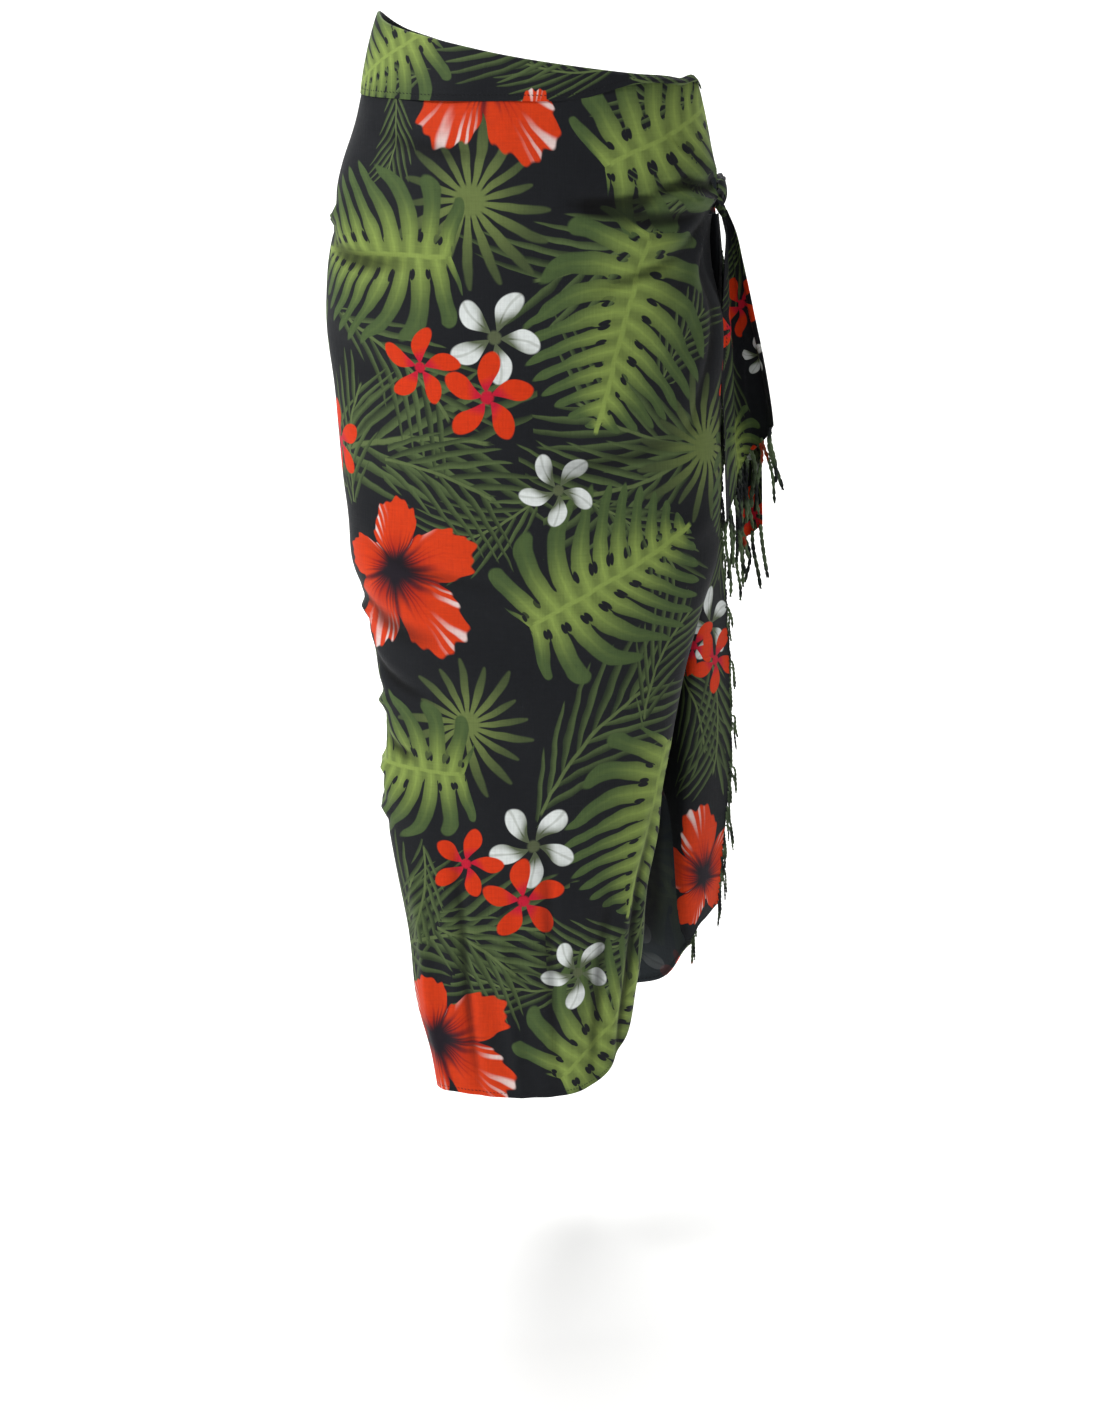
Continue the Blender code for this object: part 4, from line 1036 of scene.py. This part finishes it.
def makeFringe(name, edge, beside):  # the cloth's own threads, twisted in pairs along its edge
    fringe = fringes[name]
    draw = random.Random(fringe["seed"])
    steps = lengthAlong(edge)
    count = int(steps[-1] / fringe["pitch"])
    shapes = []
    for number in range(count):
        at = (number + 0.5 + draw.uniform(-0.25, 0.25)) / count * steps[-1]
        root = pointAt(edge, steps, at)
        out = root - pointAt(beside, steps, at)
        out /= np.linalg.norm(out)
        path, level, across, length, t = strandPath(root, out, fringe, draw, number)
        half = fringe["half"] * draw.uniform(0.85, 1.15)
        for ply in (0, math.pi):  # two threads wound round each other
            twist = (t * length / (half * strand["twist"]) * 2 * math.pi + ply + number)[:, None]
            core = path + 0.8 * half * (np.cos(twist) * level + np.sin(twist) * across)
            thin = half * (1 - 3.5 * np.maximum(t - strand["thinFrom"], 0))
            faces = tubeFaces(strand["points"], strand["sides"])
            shapes.append((tubeAlong(core, thin, thin, strand["sides"]), faces))
    piece = closedMesh(name, shapes, fringeThread)
    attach(piece, "root")
    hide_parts(fringe["node"])
    return piece


fallFringePiece = makeFringe("fallFringe", fallGrid[-1, 8:], fallGrid[-2, 8:])
backFringePiece = makeFringe("backFringe", wrapGrid[0, 12:], wrapGrid[1, 12:])
frontTailFringePiece = makeFringe("frontTailFringe", frontTailGrid[:, -1], frontTailGrid[:, -4])
backTailFringePiece = makeFringe("backTailFringe", backTailGrid[:, -1], backTailGrid[:, -4])
print("fringes made")
studio = {
    "floor": -1.12, "world": 0.36,
    "sweepBack": 2.6, "bend": 1.3, "sweepTop": 4.0, "halfWidth": 9.0, "front": -7.0,
    # where each light stands, where it aims, its size and its watts
    "lights": {
        "key": ((-2.3, -1.5, 1.4), (0, 0, -0.4), 0.8, 80.0),
        "fill": ((1.9, -1.6, 0.2), (0, 0, -0.4), 1.6, 7.0),
        "sweepLight": ((0, 1.6, 2.4), (0, 3.0, -1.0), 3.0, 170.0),
    },
    # the photo's camera: its place, how far it looks down, its focal length and frame height in pixels
    "camera": (0.009, -1.95, 0.0), "tilt": 16.2, "focal": 2270, "frame": 1422,
}


def areaLight(name, place, aim, size, energy):
    light = bpy.data.lights.new(name, "AREA")
    light.energy, light.size = energy, size
    lamp = linked(name, light)
    lamp.location = place
    x, y, z = np.array(aim) - np.array(place)
    upright = math.pi / 2
    lamp.rotation_euler = (upright + math.atan2(z, math.hypot(x, y)), 0, math.atan2(y, x) - upright)


def makeSweep():  # pale paper, curved up behind
    bend = np.linspace(0, math.pi / 2, 16)
    back, radius, wide = studio["sweepBack"], studio["bend"], studio["halfWidth"]
    y = [studio["front"], *(back + radius * np.sin(bend)), back + radius]
    z = [0, *(radius * (1 - np.cos(bend))), studio["sweepTop"]]
    points = np.array([(x, a, b + studio["floor"]) for x in (-wide, wide) for a, b in zip(y, z)])
    mesh = smoothMesh("floor", points, quadsOf(np.arange(len(points)).reshape(2, -1))[:, ::-1])
    floor = linked("floor", mesh)
    material, shader, links = newMaterial("Matt paper")
    tone = put("noise", put("object"), 3.0, 3.0)
    links.new(put("paint", tone, "f8f8f7", "fbfbfa").socket, shader.inputs["Base Color"])
    shader.inputs["Roughness"].default_value = 0.9
    shader.inputs["Specular IOR Level"].default_value = 0.1
    mesh.materials.append(material)


def makeStudio():
    makeSweep()
    world = bpy.data.worlds.new("Studio")
    bpy.context.scene.world = world
    world.use_nodes = True
    world.node_tree.nodes["Background"].inputs[0].default_value = hexColour("ffffff")
    world.node_tree.nodes["Background"].inputs[1].default_value = studio["world"]
    for name, light in studio["lights"].items():
        areaLight(name, *light)
    camera = bpy.data.cameras.new("photo")
    camera.lens = studio["focal"] / studio["frame"] * camera.sensor_width
    camera.clip_end = 60
    eye = linked("photo", camera)
    eye.location = studio["camera"]
    eye.rotation_euler = (math.radians(90 - studio["tilt"]), 0, 0)
    bpy.context.scene.camera = eye
    bpy.context.scene.view_settings.view_transform = "Standard"


makeStudio()
print("studio made")
